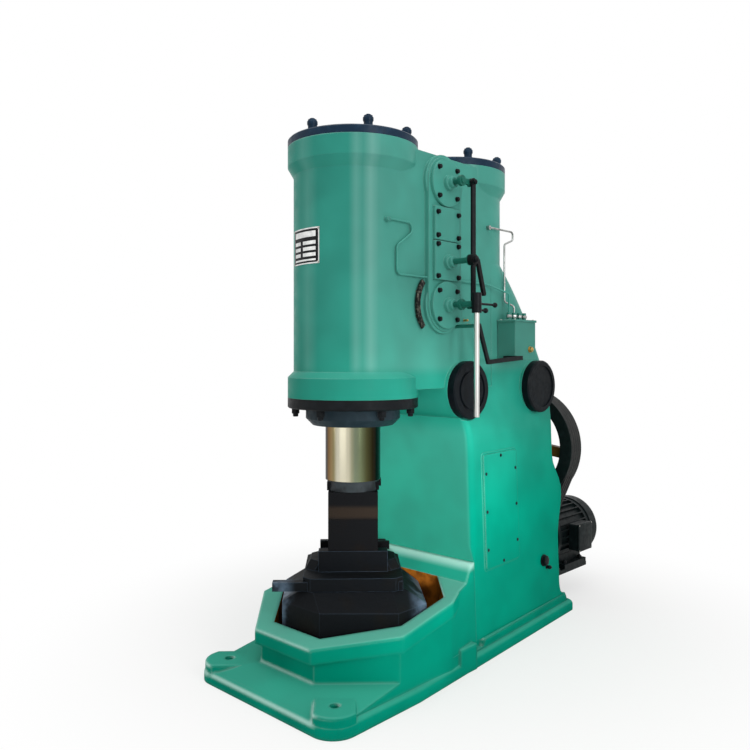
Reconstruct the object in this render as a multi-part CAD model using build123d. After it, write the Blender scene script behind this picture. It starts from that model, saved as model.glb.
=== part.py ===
from build123d import *
import os
from math import asin, atan2, cos, degrees, hypot, pi, radians, sin, sqrt

# Pneumatic forging hammer. A C-shaped frame carries the working cylinder over
# the anvil and the compressor cylinder behind it. A belt-driven crank at the
# rear works the compressor, and three turning valves on the right side steer
# the air. Millimetres: X runs across with the valve gear at +X, Y runs from
# the front (-Y) to the rear, Z is up from the floor, and the ram moves on Z.

# General
overrun = 60.0
running_gap = 0.05
turn_angle = 45.0

# Base casting
base_front_y = -579.0
base_knee_y = -60.0
base_rear_y = 1520.0
base_half_front = 470.0
base_half_rear = 355.0
base_edge_height = 55.0
base_edge_round = 24.0
base_edge_land = 5.0
base_front_corner_r = 115.0
base_rear_corner_r = 50.0
plinth_height = 106.0
plinth_side_inset = 42.0
plinth_rear_inset = 72.0
plinth_rear_corner_r = 25.0
pad_height = 86.0
pad_width = 176.0
pad_length = 540.0
pad_round = 9.0
pad_centre_x = 356.0
pad_centre_y = -462.0
anchor_hole_r = 21.0
rear_anchor_y = 1470.0
rear_anchor_x = 292.0
rear_spot_r = 38.0
rear_spot_z = 62.0
side_pad_front_y = 272.0
side_pad_front_half = 441.0
side_pad_rear_half = 440.0
side_pad_height = 122.0
side_pad_round = 9.0
notch_front_y = 402.0
notch_length = 108.0
notch_depth = 62.0
notch_floor_z = 66.0

# Well round the anvil
wall_front_y = -415.0
wall_front_half = 176.0
wall_half = 440.0
wall_side_front_y = -155.0
wall_side_rear_y = 205.0
rim_front_y = -445.0
rim_front_half = 187.0
rim_half = 470.0
rim_side_front_y = -168.0
rim_side_rear_y = 175.0
rim_fade_y = 270.0
rim_front_z = 260.0
rim_slope_angle = 10.5
rim_thickness = 72.0
rim_round = 9.0
well_front_y = -358.0
well_front_half = 155.0
well_half = 395.0
well_side_front_y = -98.0
well_side_rear_y = 200.0
well_rear_half = 226.0
well_rear_y = 364.0
ledge_foot_y = 364.0
ledge_front_y = 424.0
ledge_top_z = 488.0
ledge_round = 16.0

# Column of the frame
column_front_y = 455.0
column_rear_y = 1385.0
column_foot_half_front = 398.0
column_foot_half_rear = 334.0
column_waist_z = 1060.0
column_waist_half_front = 362.0
column_waist_half_rear = 300.0
throat_roof_z = 1342.0
throat_round = 92.0
column_edge_r = 34.0
column_seam_r = 2.0
edge_fade = 80.0
column_rear_edge_r = 26.0
shoulder_steps = 7
throat_steps = 6
bulge_steps = 10
skirt_steps = 4
level_gap = 6.0
column_neck_y = 1342.0
bulge_y = 1446.0
bulge_z = 712.0
bulge_upper_z = 930.0
bulge_lower_z = 440.0
skirt_z = 190.0
skirt_y = 1430.0

# Cylinder block of the frame
cylinder_pitch = 750.0
working_r = 284.0
compressor_r = 278.0
flange_top_z = 2486.0
block_top_drop = 16.0
flange_width = 28.0
flange_height = 92.0
flange_blend = 48.0
lower_flange_z = 1303.0
lower_flange_height = 96.0
cylinder_bore_r = 152.0
bore_top_drop = 46.0
flare_top_share = 0.5665
flare_rear_y = 1348.0
flare_out = 7.0
flare_corner_r = 62.0
flare_reach_shares = (0.73, 0.43)
flare_corner_shares = (0.27, 0.63)
flare_height_shares = (0.34, 0.67)

# Cylinder covers and gland
cover_thickness = 38.0
cover_edge = 6.0
cover_boss_r = 120.0
cover_boss_height = 8.0
ring_height = 48.0
ring_edge = 5.0
gland_r = 226.0
gland_height = 82.0
gland_bevel = 32.0

# Ram and dies
rod_r = 132.0
rod_end_z = 913.0
rod_top_drop = 446.0
piston_height = 120.0
neck_r = 123.0
die_width = 232.0
die_joint_z = 738.0
die_rest_gap = 0.5
upper_die_top_z = 865.0
tongue_width = 110.0
tongue_height = 38.0
tongue_flare = 9.0
tongue_gap = 0.3
key_width = 30.0
upper_key_stand_out = 14.0
lower_key_stand_out = 62.0

# Anvil
anvil_front_half = 126.0
anvil_half = 378.0
anvil_side_half = 96.0
anvil_length_half = 335.0
anvil_shoulder_z = 372.0
anvil_top_z = 436.0
anvil_top_width = 470.0
cap_plate_width = 455.0
cap_plate_height = 60.0
cap_plate_corner = 34.0
cap_top_z = 592.0
cap_head_width = 322.0
cap_head_depth = 240.0
cap_wing_z = 542.0
cap_wing_width = 448.0
cap_wing_depth = 200.0
cap_wing_draft = 24.0
cap_wing_corner = 44.0
anvil_corner = 56.0
wedge_width = 46.0
wedge_height = 40.0
wedge_tail = 138.0
wedge_offset = 190.0

# Valve chest and covers
valve_y = 324.0
upper_valve_share = 0.8675
middle_valve_share = 0.534
lower_valve_share = 0.3525
chest_stand_off = 24.0
chest_half = 126.0
chest_boss_r = 138.0
chest_boss_stand_off = 16.0
valve_cover_r = 115.0
cover_plate_thickness = 17.0
cover_plate_half = 97.0
cover_plate_joint_share = 0.6215
cover_plate_gap = 4.0
stuffing_r = 36.0
stuffing_length = 40.0
gland_nut_r = 27.0
gland_nut_length = 20.0

# Valve shafts, arms and handles
shaft_r = 14.0
shaft_seat = 10.0
arm_stand_off = 33.0
arm_thickness = 16.0
arm_hub_r = 26.0
arm_reach = 66.0
arm_eye_r = 20.0
arm_width = 26.0
pin_r = 8.0
pin_play = 3.0
link_gap = 6.0
link_thickness = 11.0
link_width = 28.0
link_eye_r = 19.0
lever_stand_off = 19.0
lever_thickness = 14.0
lever_hub_r = 26.0
lever_hub_length = 34.0
lever_arm_reach = 58.0
lever_tip_out = 108.0
lever_tip_drop = 153.0
lever_width = 22.0
handle_stand_off = 43.0
socket_r = 23.0
socket_below = 43.0
socket_above = 51.0
handle_r = 13.0
handle_drop = 531.0
handle_in_socket = 50.0
knob_stem_r = 5.5
knob_r = 12.5
rear_knob_reach = 150.0
low_knob_reach = 72.0
low_knob_drop = 30.0

# Quadrant beside the lower valve
quadrant_stand_off = 7.0
quadrant_thickness = 11.0
quadrant_r = 164.0
quadrant_width = 26.0
quadrant_shift = 29.0
quadrant_drop = 1.0
quadrant_half_angle = 41.0
quadrant_foot_r = 10.0

# Lubricator and its link
lubricator_depth = 110.0
lubricator_y = 804.0
lubricator_length = 196.0
lubricator_rise = 136.0
lubricator_height = 214.0
lubricator_lid = 12.0
lubricator_lid_lip = 5.0
union_r = 11.0
union_height = 40.0
union_count = 4
link_stud_shift = 100.0
link_stud_drop = 99.0
link_stud_r = 9.0
oil_link_stand_off = 35.0
oil_link_width = 22.0
oil_link_thickness = 12.0
oil_link_knee_shift = 174.0
oil_link_knee_rise = 128.0
oil_link_end_rise = 148.0
oil_lever_depth = 60.0

# Oil pipes
pipe_r = 5.0
pipe_stand_off = 12.0
pipe_bend_r = 18.0
front_bend_r = 28.0
fitting_r = 11.0
front_fitting_shift_share = 0.2324
front_fitting_share = 0.6765
front_loop_y = 88.0
front_loop_drop = 46.0
front_loop_lean = 70.0
front_drop_y = -15.0
front_run_rise = 127.0
chest_knee_y = 700.0
chest_knee_drop = 42.0
rear_fitting_y = 718.0
rear_fitting_share = 0.7255
rear_loop_y = 932.0
rear_loop_drop = 44.0
rear_loop_lean = 30.0
rear_drop_y = 852.0
rear_knee_rise = 58.0
rear_knee_drop = 25.0

# Round side caps and access panels
cap_r = 145.0
cap_stand_off = 17.0
cap_thickness = 44.0
cap_edge = 7.0
cap_ring_r = 108.0
cap_ring_width = 16.0
cap_ring_depth = 7.0
cap_dish_r = 116.0
cap_dish_depth = 6.0
cap_z = 1330.0
front_cap_y = 492.0
rear_cap_y = 1156.0
cap_pocket_gap = 6.0
panel_y = 722.0
panel_z = 716.0
panel_width = 332.0
panel_height = 574.0
panel_thickness = 8.0
panel_corner_r = 14.0
panel_pad_margin = 9.0
panel_pad_stand = 4.0
plug_hole_y = 1176.0
plug_hole_z = 350.0
plug_hole_r = 27.0
plug_hole_depth = 46.0

# Crank bearing and flywheel
crank_z = 946.0
bearing_r = 128.0
bearing_y = 1424.0
crank_r = 46.0
wheel_y = 1480.0
wheel_width = 120.0
wheel_r = 348.0
rim_depth = 76.0
wheel_web = 12.0
hub_r = 92.0
hub_length = 136.0
spoke_count = 6
spoke_start_angle = 7.0
spoke_width = 62.0
spoke_thickness = 46.0
crank_end = 26.0
belt_count = 4
belt_width = 17.0
belt_pitch = 25.0
belt_thickness = 13.0
belt_gap = 2.0
groove_side_gap = 1.5

# Motor, pulley and bracket
motor_z = 358.0
motor_r = 168.0
motor_y = 1660.0
motor_length = 330.0
shield_length = 34.0
fin_count = 28
fin_height = 18.0
fin_thickness = 7.0
fan_cover_length = 112.0
fan_cover_round = 46.0
fan_cover_r = 193.0
foot_height = 194.0
foot_half = 188.0
foot_thickness = 26.0
foot_margin = 30.0
foot_web_thickness = 22.0
terminal_width = 160.0
terminal_height = 165.0
terminal_depth = 62.0
terminal_round = 8.0
pulley_r = 112.0
motor_shaft_r = 30.0
bracket_half = 170.0
bracket_thickness = 24.0
bracket_end_y = 1965.0
bracket_back_top_z = 420.0
bracket_back_thickness = 26.0
bracket_shelf_y = 1450.0
bracket_cheek_thickness = 18.0
bracket_cheek_end_y = 1640.0

LOW = (Align.CENTER, Align.CENTER, Align.MIN)
rim_slope = sin(radians(rim_slope_angle)) / cos(radians(rim_slope_angle))
motor_foot_z = motor_z - foot_height
wall_r = max(working_r, compressor_r)
flare_half = compressor_r + flare_out
block_rise = flange_top_z - throat_roof_z
block_top_z = flange_top_z - block_top_drop
bore_top_z = flange_top_z - bore_top_drop
rod_top_z = flange_top_z - rod_top_drop
flare_top_z = throat_roof_z + block_rise * flare_top_share
upper_valve_z = throat_roof_z + block_rise * upper_valve_share
middle_valve_z = throat_roof_z + block_rise * middle_valve_share
lower_valve_z = throat_roof_z + block_rise * lower_valve_share
cover_plate_joint_z = throat_roof_z + block_rise * cover_plate_joint_share
chest_face_x = wall_r + chest_stand_off
chest_boss_x = wall_r + chest_boss_stand_off
plate_x = chest_face_x + cover_plate_thickness
stuffing_x = plate_x + stuffing_length
arm_x = stuffing_x + arm_stand_off
arm_pin_y = valve_y + arm_reach
link_x = arm_x + arm_thickness + link_gap
lever_x = link_x + link_thickness + lever_stand_off
handle_x = lever_x + handle_stand_off
socket_low_z = lower_valve_z - socket_below
socket_high_z = lower_valve_z + socket_above
quadrant_x = wall_r + quadrant_stand_off
quadrant_centre_y = valve_y - quadrant_shift
quadrant_centre_z = lower_valve_z - quadrant_drop
lubricator_x = flare_half + lubricator_depth
lubricator_z = throat_roof_z + lubricator_rise
link_stud_y = valve_y + link_stud_shift
link_stud_z = lower_valve_z - link_stud_drop
oil_link_x = lubricator_x + oil_link_stand_off
oil_link_end_z = throat_roof_z + oil_link_end_rise
front_fitting_y = -working_r * front_fitting_shift_share
front_fitting_z = throat_roof_z + block_rise * front_fitting_share
rear_fitting_z = throat_roof_z + block_rise * rear_fitting_share
front_run_z = lower_valve_z + front_run_rise
pipe_x = wall_r + pipe_stand_off
union_x = flare_half + lubricator_depth / 2
cap_seat_x = flare_half + cap_stand_off
cover_r = working_r + flange_width
wheel_mid_y = wheel_y + wheel_width / 2
wheel_inner_r = wheel_r - rim_depth
diagonal = Rot(0, 0, turn_angle)


def flat(points):
    """Plane face through a closed row of points."""
    return make_face(Polyline(*points, close=True))


def across(points, half):
    """Solid of a side-view outline (Y, Z), the same width on both sides of the middle plane."""
    return extrude(Plane.YZ * flat(points), amount=half, both=True)


def post(radius, low, high, x=0, y=0):
    """Upright round bar between two levels."""
    return Pos(x, y, low) * Cylinder(radius, high - low, align=LOW)


def bar_x(radius, start, end, y, z):
    """Round bar along X."""
    return Pos(start, y, z) * Rot(0, 90, 0) * Cylinder(radius, end - start, align=LOW)


def bar_y(radius, start, end, x, z):
    """Round bar along Y."""
    return Pos(x, start, z) * Rot(-90, 0, 0) * Cylinder(radius, end - start, align=LOW)


def block(low, high):
    """Box between two opposite corners."""
    size = [b - a for a, b in zip(low, high)]
    return Pos(*low) * Box(*size, align=(Align.MIN, Align.MIN, Align.MIN))


def turned(points):
    """Round solid about Z from a half section given as (radius, Z)."""
    return revolve(Plane.XZ * flat(points), axis=Axis.Z)


def both_sides(points):
    """Closes a right-hand row of plan points with its mirror image."""
    return points + [(-x, y) for x, y in reversed(points)]


def chamfered_plan(width, depth, corner, z):
    """Rectangle with cut corners, turned with the dies, at a level."""
    half = width / 2
    reach = depth / 2
    right = [(half - corner, -reach), (half, corner - reach), (half, reach - corner), (half - corner, reach)]
    return Pos(0, 0, z) * diagonal * flat(both_sides(right))


def rim_z(y):
    """Level of the sloping rim of the well at a place along the machine."""
    return rim_front_z + rim_slope * (y - rim_front_y)


def base_section(front_end, side_start, knee, rear, rear_r, z, rounded):
    """Plan of the base at a level, with round or straight front corners."""
    (front_x, front_y), (side_x, side_y) = front_end, side_start
    rear_x, rear_y = rear
    turn = sqrt(1 / 2)
    if rounded:
        radius = side_x - front_x
        middle = (front_x + radius * turn, side_y - radius * turn)
        corner = ThreePointArc(front_end, middle, side_start)
    else:
        corner = Line(front_end, side_start)
    tail_start = (rear_x, rear_y - rear_r)
    tail_end = (rear_x - rear_r, rear_y)
    tail_middle = (tail_end[0] + rear_r * turn, tail_start[1] + rear_r * turn)
    tail = ThreePointArc(tail_start, tail_middle, tail_end)
    right = [corner, Line(side_start, knee), Line(knee, tail_start), tail]
    left = [mirror(edge, about=Plane.YZ) for edge in reversed(right)]
    front = Line((-front_x, front_y), front_end)
    back = Line(tail_end, (-tail_end[0], rear_y))
    return Pos(0, 0, z) * make_face([front] + right + [back] + left)


def base_edge_section(inset, z):
    """Plan of the base's edge pulled in all round."""
    half = base_half_front - inset
    front_y = base_front_y + inset
    radius = base_front_corner_r - inset
    return base_section(
        (half - radius, front_y),
        (half, front_y + radius),
        (half, base_knee_y),
        (base_half_rear - inset, base_rear_y - inset),
        base_rear_corner_r - inset,
        z,
        True,
    )


def base_foot():
    """Flange of the base: a round-edged plate whose top slopes up to the walls."""
    plate = extrude(base_edge_section(0, 0), amount=base_edge_height)
    top_edges = plate.faces().sort_by(Axis.Z)[-1].edges()
    plate = fillet(top_edges, base_edge_round)
    plinth_top = base_section(
        (wall_front_half, wall_front_y),
        (wall_half, wall_side_front_y),
        (wall_half, wall_side_rear_y),
        (base_half_rear - plinth_side_inset / 2, base_rear_y - plinth_rear_inset),
        plinth_rear_corner_r,
        plinth_height,
        False,
    )
    slope_foot = base_edge_section(base_edge_round + base_edge_land, base_edge_height)
    return plate + loft([slope_foot, plinth_top], ruled=True)


def front_pads():
    """Flat pads for the foundation bolts, set along the front corners' diagonals and running under the wall."""
    pad = Box(pad_width, pad_length, pad_height, align=LOW)
    edge = extrude(base_edge_section(base_edge_land, 0), amount=pad_height)
    right = edge & (Pos(pad_centre_x, pad_centre_y, 0) * diagonal * pad)
    top_edges = right.faces().sort_by(Axis.Z)[-1].edges()
    right = fillet(top_edges, pad_round)
    return right + mirror(right, about=Plane.YZ)


def side_pads():
    """Raised pad on the flange ahead of each side notch."""
    pad = extrude(flat([
        (side_pad_front_half - notch_depth, side_pad_front_y),
        (side_pad_front_half, side_pad_front_y),
        (side_pad_rear_half, notch_front_y),
        (side_pad_front_half - notch_depth, notch_front_y),
    ]), amount=side_pad_height)
    outer = pad.edges().filter_by(lambda edge: edge.center().X > side_pad_front_half - side_pad_round)
    pad = fillet(outer.filter_by(lambda edge: edge.center().Z > side_pad_height / 2), side_pad_round)
    return pad + mirror(pad, about=Plane.YZ)


def side_notches():
    """Flat notch in the side slope of the flange, one on each side."""
    outer = base_half_front + overrun
    inner = wall_half - notch_depth
    low = (inner, notch_front_y, notch_floor_z)
    high = (outer, notch_front_y + notch_length, plinth_height + overrun)
    notch = block(low, high)
    return notch + mirror(notch, about=Plane.YZ)


def well_wall():
    """Eight-sided wall round the anvil, rising to the ledge at the column's foot."""
    plans = []
    for z in (0, ledge_top_z):
        plans.append(Pos(0, 0, z) * flat(both_sides([
            (wall_front_half, wall_front_y),
            (wall_half, wall_side_front_y),
            (wall_half, wall_side_rear_y),
            (column_half(column_front_y, z), column_front_y),
        ])))
    wall = loft(plans, ruled=True)
    far = rim_front_y - overrun
    above = across([
        (far, rim_z(far)),
        (ledge_foot_y, rim_z(ledge_foot_y)),
        (ledge_front_y, ledge_top_z),
        (ledge_front_y, ledge_top_z + overrun),
        (far, ledge_top_z + overrun),
    ], rim_half + overrun)
    wall -= above
    brow = wall.edges().filter_by(Axis.X).sort_by(Axis.Z)[-2:].sort_by(Axis.Y)[0]
    return fillet(brow, ledge_round)


def well_rim():
    """Overhanging lip along the top of the well's wall."""
    plan = both_sides([
        (rim_front_half, rim_front_y),
        (rim_half, rim_side_front_y),
        (rim_half, rim_side_rear_y),
        (wall_half - rim_round, rim_fade_y),
    ])
    band = across([
        (rim_front_y - overrun, rim_z(rim_front_y - overrun)),
        (rim_fade_y, rim_z(rim_fade_y)),
        (rim_fade_y, rim_z(rim_fade_y) - rim_thickness),
        (rim_front_y - overrun, rim_z(rim_front_y - overrun) - rim_thickness),
    ], rim_half + overrun)
    rim = extrude(flat(plan), amount=ledge_top_z) & band
    ahead = rim.edges().filter_by(lambda edge: edge.center().Y < rim_side_rear_y)
    return fillet(ahead, rim_round)


def well_opening():
    """Eight-sided opening that the anvil stands in, cut down to the floor."""
    plan = both_sides([
        (well_front_half, well_front_y),
        (well_half, well_side_front_y),
        (well_half, well_side_rear_y),
        (well_rear_half, well_rear_y),
    ])
    return Pos(0, 0, -overrun) * extrude(flat(plan), amount=ledge_top_z + 2 * overrun)


def base_casting():
    """Base with its flange, pads and the well round the anvil."""
    body = base_foot() + front_pads() + side_pads() - side_notches()
    body += well_wall() + well_rim()
    body -= well_opening()
    for side in (-1, 1):
        body -= post(anchor_hole_r, -overrun, pad_height + overrun, side * pad_centre_x, pad_centre_y)
        body -= post(anchor_hole_r, -overrun, plinth_height, side * rear_anchor_x, rear_anchor_y)
        body -= post(rear_spot_r, rear_spot_z, plinth_height, side * rear_anchor_x, rear_anchor_y)
    return body


def column_half(y, z):
    """Half width of the column at a place: tapering to the waist, then drawn in at the shoulder."""
    rise = (z - plinth_height) / (column_waist_z - plinth_height)
    front = column_foot_half_front + (column_waist_half_front - column_foot_half_front) * rise
    rear = column_foot_half_rear + (column_waist_half_rear - column_foot_half_rear) * rise
    if z > column_waist_z:
        way = (z - column_waist_z) / (throat_roof_z - column_waist_z)
        width_share = (1 + cos(pi * way)) / 2
        front = flare_half + (column_waist_half_front - flare_half) * width_share
        rear = flare_half + (column_waist_half_rear - flare_half) * width_share
    along = (y - column_front_y) / (column_rear_y - column_front_y)
    return front + (rear - front) * along


def column_front(z):
    """Place of the column's front wall at a level, curving out into the throat's roof."""
    rise = max(0, z - throat_roof_z + throat_round)
    return column_front_y - throat_round + sqrt(max(0, throat_round**2 - rise**2))


def column_rear(z):
    """Place of the column's rear wall at a level: skirt, flat, swelling and neck."""
    if z < skirt_z:
        drop = (skirt_z - z) / (skirt_z - plinth_height)
        return column_rear_y + (skirt_y - column_rear_y) * (1 - sqrt(1 - drop**2))
    if z < bulge_lower_z:
        return column_rear_y
    if z < bulge_z:
        way = (z - bulge_lower_z) / (bulge_z - bulge_lower_z)
        return column_rear_y + (bulge_y - column_rear_y) * (1 - cos(pi * way)) / 2
    way = min(1, (z - bulge_z) / (bulge_upper_z - bulge_z))
    return column_neck_y + (bulge_y - column_neck_y) * (1 + cos(pi * way)) / 2


def rounded_corner(corner, before, after, radius):
    """Start, middle and end of the arc that rounds a corner between two straight sides."""
    tip = Vector(*corner)
    back = (Vector(*before) - tip).normalized()
    ahead = (Vector(*after) - tip).normalized()
    half_angle = radians(back.get_angle(ahead)) / 2
    reach = radius * cos(half_angle) / sin(half_angle)
    bisector = (back + ahead).normalized()
    middle = tip + bisector * (radius / sin(half_angle) - radius)
    return [(p.X, p.Y) for p in (tip + back * reach, middle, tip + ahead * reach)]


def column_section(z):
    """Plan of the column at a level, with rounded corners."""
    front_y = column_front(z)
    rear_y = column_rear(z)
    front_corner = (column_half(front_y, z), front_y)
    rear_corner = (column_half(rear_y, z), rear_y)
    fade = min(1, max(0, (z - ledge_top_z) / edge_fade))
    front_r = column_seam_r + (column_edge_r - column_seam_r) * fade
    front_arc = rounded_corner(front_corner, (0, front_y), rear_corner, front_r)
    rear_arc = rounded_corner(rear_corner, front_corner, (0, rear_y), column_rear_edge_r)
    right = [
        ThreePointArc(*front_arc),
        Line(front_arc[2], rear_arc[0]),
        ThreePointArc(*rear_arc),
    ]
    left = [mirror(edge, about=Plane.YZ) for edge in reversed(right)]
    front = Line((-front_arc[0][0], front_y), front_arc[0])
    back = Line(rear_arc[2], (-rear_arc[2][0], rear_y))
    return Pos(0, 0, z) * make_face([front] + right + [back] + left)


def column_levels():
    """Levels of the column's sections, closer where its walls curve."""
    throat_low = throat_roof_z - throat_round
    levels = [skirt_z, ledge_top_z, ledge_top_z + edge_fade, bulge_upper_z, throat_roof_z]
    for low, high, steps in (
        (plinth_height, skirt_z, skirt_steps),
        (bulge_lower_z, bulge_upper_z, bulge_steps),
        (column_waist_z, throat_roof_z, shoulder_steps),
    ):
        levels += [low + (high - low) * step / steps for step in range(steps)]
    levels += [throat_low + throat_round * sin(pi / 2 * step / throat_steps) for step in range(throat_steps)]
    spaced = []
    for level in sorted(levels):
        if not spaced or level - spaced[-1] > level_gap:
            spaced.append(level)
    return spaced[:-1] + [throat_roof_z]


def column():
    """Column of the frame: plans at many levels joined by ruled walls."""
    return loft([column_section(z) for z in column_levels()], ruled=True)


def block_plan():
    """Plan of the two cylinders with the walls that touch both."""
    lean = asin((working_r - compressor_r) / cylinder_pitch)
    wall = both_sides([
        (working_r * cos(lean), working_r * sin(lean)),
        (compressor_r * cos(lean), cylinder_pitch + compressor_r * sin(lean)),
    ])
    return Circle(working_r) + Pos(0, cylinder_pitch) * Circle(compressor_r) + flat(wall)


def block_walls():
    """Solid block of the two cylinders above the throat's roof."""
    return Pos(0, 0, throat_roof_z) * extrude(block_plan(), amount=block_top_z - throat_roof_z)


def flange(barrel_r, low, blend_low):
    """Bolting flange round a barrel, blended into it on the side away from its face."""
    outer = barrel_r + flange_width
    face_z = low + flange_height
    section = [(0, face_z), (outer, face_z), (outer, low), (barrel_r, blend_low), (0, blend_low)]
    return turned(section)


def lower_flange():
    """Flange at the lower end of the working cylinder, sloped into the barrel above it."""
    top = lower_flange_z + lower_flange_height
    return turned([
        (0, lower_flange_z),
        (cover_r, lower_flange_z),
        (cover_r, top),
        (working_r, top + flange_width),
        (0, top + flange_width),
    ])


def flare_section(z, half, rear_y, corner_r):
    """Plan of the flare behind the compressor cylinder at a level."""
    turn = sqrt(1 / 2)
    side_start = (half, cylinder_pitch)
    side_end = (half, rear_y - corner_r)
    corner_end = (half - corner_r, rear_y)
    centre = (half - corner_r, rear_y - corner_r)
    middle = tuple(c + corner_r * turn for c in centre)
    side = Line(side_start, side_end)
    corner = ThreePointArc(side_end, middle, corner_end)
    right = [side, corner]
    left = [mirror(edge, about=Plane.YZ) for edge in reversed(right)]
    back = Line(corner_end, (-corner_end[0], rear_y))
    front = Line((-half, cylinder_pitch), side_start)
    return Pos(0, 0, z) * make_face(right + [back] + left + [front])


def flare():
    """Swelling that leads the compressor cylinder out to the column's rear wall."""
    top_rear = cylinder_pitch + compressor_r
    top_corner = compressor_r - base_edge_land
    rise = flare_top_z - throat_roof_z
    sections = [flare_section(throat_roof_z, flare_half, flare_rear_y, flare_corner_r)]
    for height, reach, turn in zip(flare_height_shares, flare_reach_shares, flare_corner_shares):
        sections.append(flare_section(
            throat_roof_z + rise * height,
            compressor_r + (flare_half - compressor_r) * (1 - height),
            top_rear + (flare_rear_y - top_rear) * reach,
            flare_corner_r + (top_corner - flare_corner_r) * turn,
        ))
    sections.append(flare_section(flare_top_z, compressor_r, top_rear, top_corner))
    return loft(sections)


def valve_chest():
    """Raised chest on the right wall that carries the valve covers."""
    low, high = lower_valve_z, upper_valve_z
    wall = block((0, valve_y - chest_half, low), (chest_face_x, valve_y + chest_half, high))
    for z in (low, high):
        wall += bar_x(chest_half, 0, chest_face_x, valve_y, z)
        wall += bar_x(chest_boss_r, 0, chest_boss_x, valve_y, z)
    return wall


def cap_seats(outward):
    """Round seats of the side caps, or the pockets that clear them."""
    seats = []
    for side in (-1, 1):
        for y in (front_cap_y, rear_cap_y):
            if outward:
                pocket = bar_x(cap_r + cap_pocket_gap, cap_seat_x, cap_seat_x + overrun, y, cap_z)
                seats.append(pocket if side > 0 else mirror(pocket, about=Plane.YZ))
            else:
                seat = bar_x(cap_r, 0, cap_seat_x, y, cap_z)
                seats.append(seat if side > 0 else mirror(seat, about=Plane.YZ))
    return seats


def side_plane(y, z):
    """Plane on the column's right wall at a place, facing out, with its own X towards the rear."""
    run = Vector(column_half(column_rear_y, z) - column_half(column_front_y, z), column_rear_y - column_front_y, 0)
    lean = (column_half(y, column_waist_z) - column_half(y, plinth_height)) / (column_waist_z - plinth_height)
    rise = Vector(lean, 0, 1)
    return Plane(origin=(column_half(y, z), y, z), x_dir=run, z_dir=run.cross(rise))


def panel_plate(margin, low, high):
    """Flat plate with round corners on the right wall, from one level off the wall to another."""
    width = panel_width + 2 * margin
    height = panel_height + 2 * margin
    face = RectangleRounded(width, height, panel_corner_r + margin)
    seat = side_plane(panel_y, panel_z)
    return seat.offset(low) * extrude(face, amount=high - low)


def frame_casting():
    """Frame: column, cylinder block, flanges and the seats of what is bolted to it."""
    body = column()
    body += block_walls() + flare() + lower_flange()
    flange_low = flange_top_z - flange_height
    body += flange(working_r, flange_low, flange_low - flange_blend)
    body += Pos(0, cylinder_pitch, 0) * flange(compressor_r, flange_low, flange_low - flange_blend)
    body += valve_chest()
    for seat in cap_seats(False):
        body += seat
    for pocket in cap_seats(True):
        body -= pocket
    pad = panel_plate(panel_pad_margin, -overrun, panel_pad_stand)
    body += pad + mirror(pad, about=Plane.YZ)
    hole = side_plane(plug_hole_y, plug_hole_z).offset(-plug_hole_depth)
    body -= hole * Cylinder(plug_hole_r, plug_hole_depth + overrun, align=LOW)
    body += bar_y(bearing_r, column_front_y + overrun, bearing_y, 0, crank_z)
    body -= bar_y(crank_r + running_gap, bearing_y - overrun, bearing_y + overrun, 0, crank_z)
    body -= post(cylinder_bore_r, lower_flange_z - overrun, bore_top_z)
    for z in (lower_valve_z, upper_valve_z, middle_valve_z):
        body -= bar_x(shaft_r + running_gap, chest_face_x - shaft_seat, chest_face_x + overrun, valve_y, z)
    return body


def cylinder_cover(radius, y):
    """Round cover bolted on top of a cylinder, with a low boss in the middle."""
    top = flange_top_z + cover_thickness
    cover = turned([
        (0, flange_top_z),
        (radius, flange_top_z),
        (radius, top - cover_edge),
        (radius - cover_edge, top),
        (cover_boss_r, top),
        (cover_boss_r - cover_boss_height, top + cover_boss_height),
        (0, top + cover_boss_height),
    ])
    return Pos(0, y, 0) * cover


def gland_ring():
    """Ring bolted under the working cylinder."""
    low = lower_flange_z - ring_height
    bore = rod_r + running_gap
    return turned([
        (bore, low),
        (cover_r - ring_edge, low),
        (cover_r, low + ring_edge),
        (cover_r, lower_flange_z),
        (bore, lower_flange_z),
    ])


def rod_gland():
    """Gland disc round the rod under the ring."""
    top = lower_flange_z - ring_height
    low = top - gland_height
    bore = rod_r + running_gap
    return turned([
        (bore, low),
        (gland_r - gland_bevel, low),
        (gland_r, low + gland_bevel),
        (gland_r, top),
        (bore, top),
    ])


def tongue(width, height, z, length):
    """Dovetail bar along the dies, wider away from its root, starting at a level."""
    half = width / 2
    section = flat([
        (-half, 0),
        (half, 0),
        (half + tongue_flare, height),
        (-half - tongue_flare, height),
    ])
    bar = extrude(Plane.YZ * section, amount=length / 2, both=True)
    return Pos(0, 0, z) * diagonal * bar


def tongue_slot(z, length):
    """Slot for a dovetail with its key beside it."""
    width = tongue_width + key_width + 2 * tongue_gap
    slot = tongue(width, tongue_height + tongue_gap, z, length)
    shift = Vector(0, key_width / 2, 0).rotate(Axis.Z, turn_angle)
    return Pos(*shift) * slot


def die_key(z, length, stand_out):
    """Taper key beside a dovetail, standing out at its driving end."""
    low = tongue_width / 2 + tongue_flare + tongue_gap
    high = tongue_width / 2 + key_width
    section = [(low, 0), (high, 0), (high, tongue_height - tongue_gap), (low, tongue_height - tongue_gap)]
    key = extrude(Plane.YZ * flat(section), amount=length + stand_out)
    return Pos(0, 0, z) * diagonal * Pos(-length / 2, 0, 0) * key


def ram_rod():
    """Ram: piston, polished rod and the dark end that the upper die is keyed into."""
    piston_r = cylinder_bore_r - running_gap
    rod = turned([
        (0, upper_die_top_z),
        (neck_r, upper_die_top_z),
        (neck_r, rod_end_z),
        (rod_r, rod_end_z),
        (rod_r, rod_top_z - piston_height),
        (piston_r, rod_top_z - piston_height),
        (piston_r, rod_top_z),
        (0, rod_top_z),
    ])
    return rod - tongue_slot(upper_die_top_z, 2 * cover_r)


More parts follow.
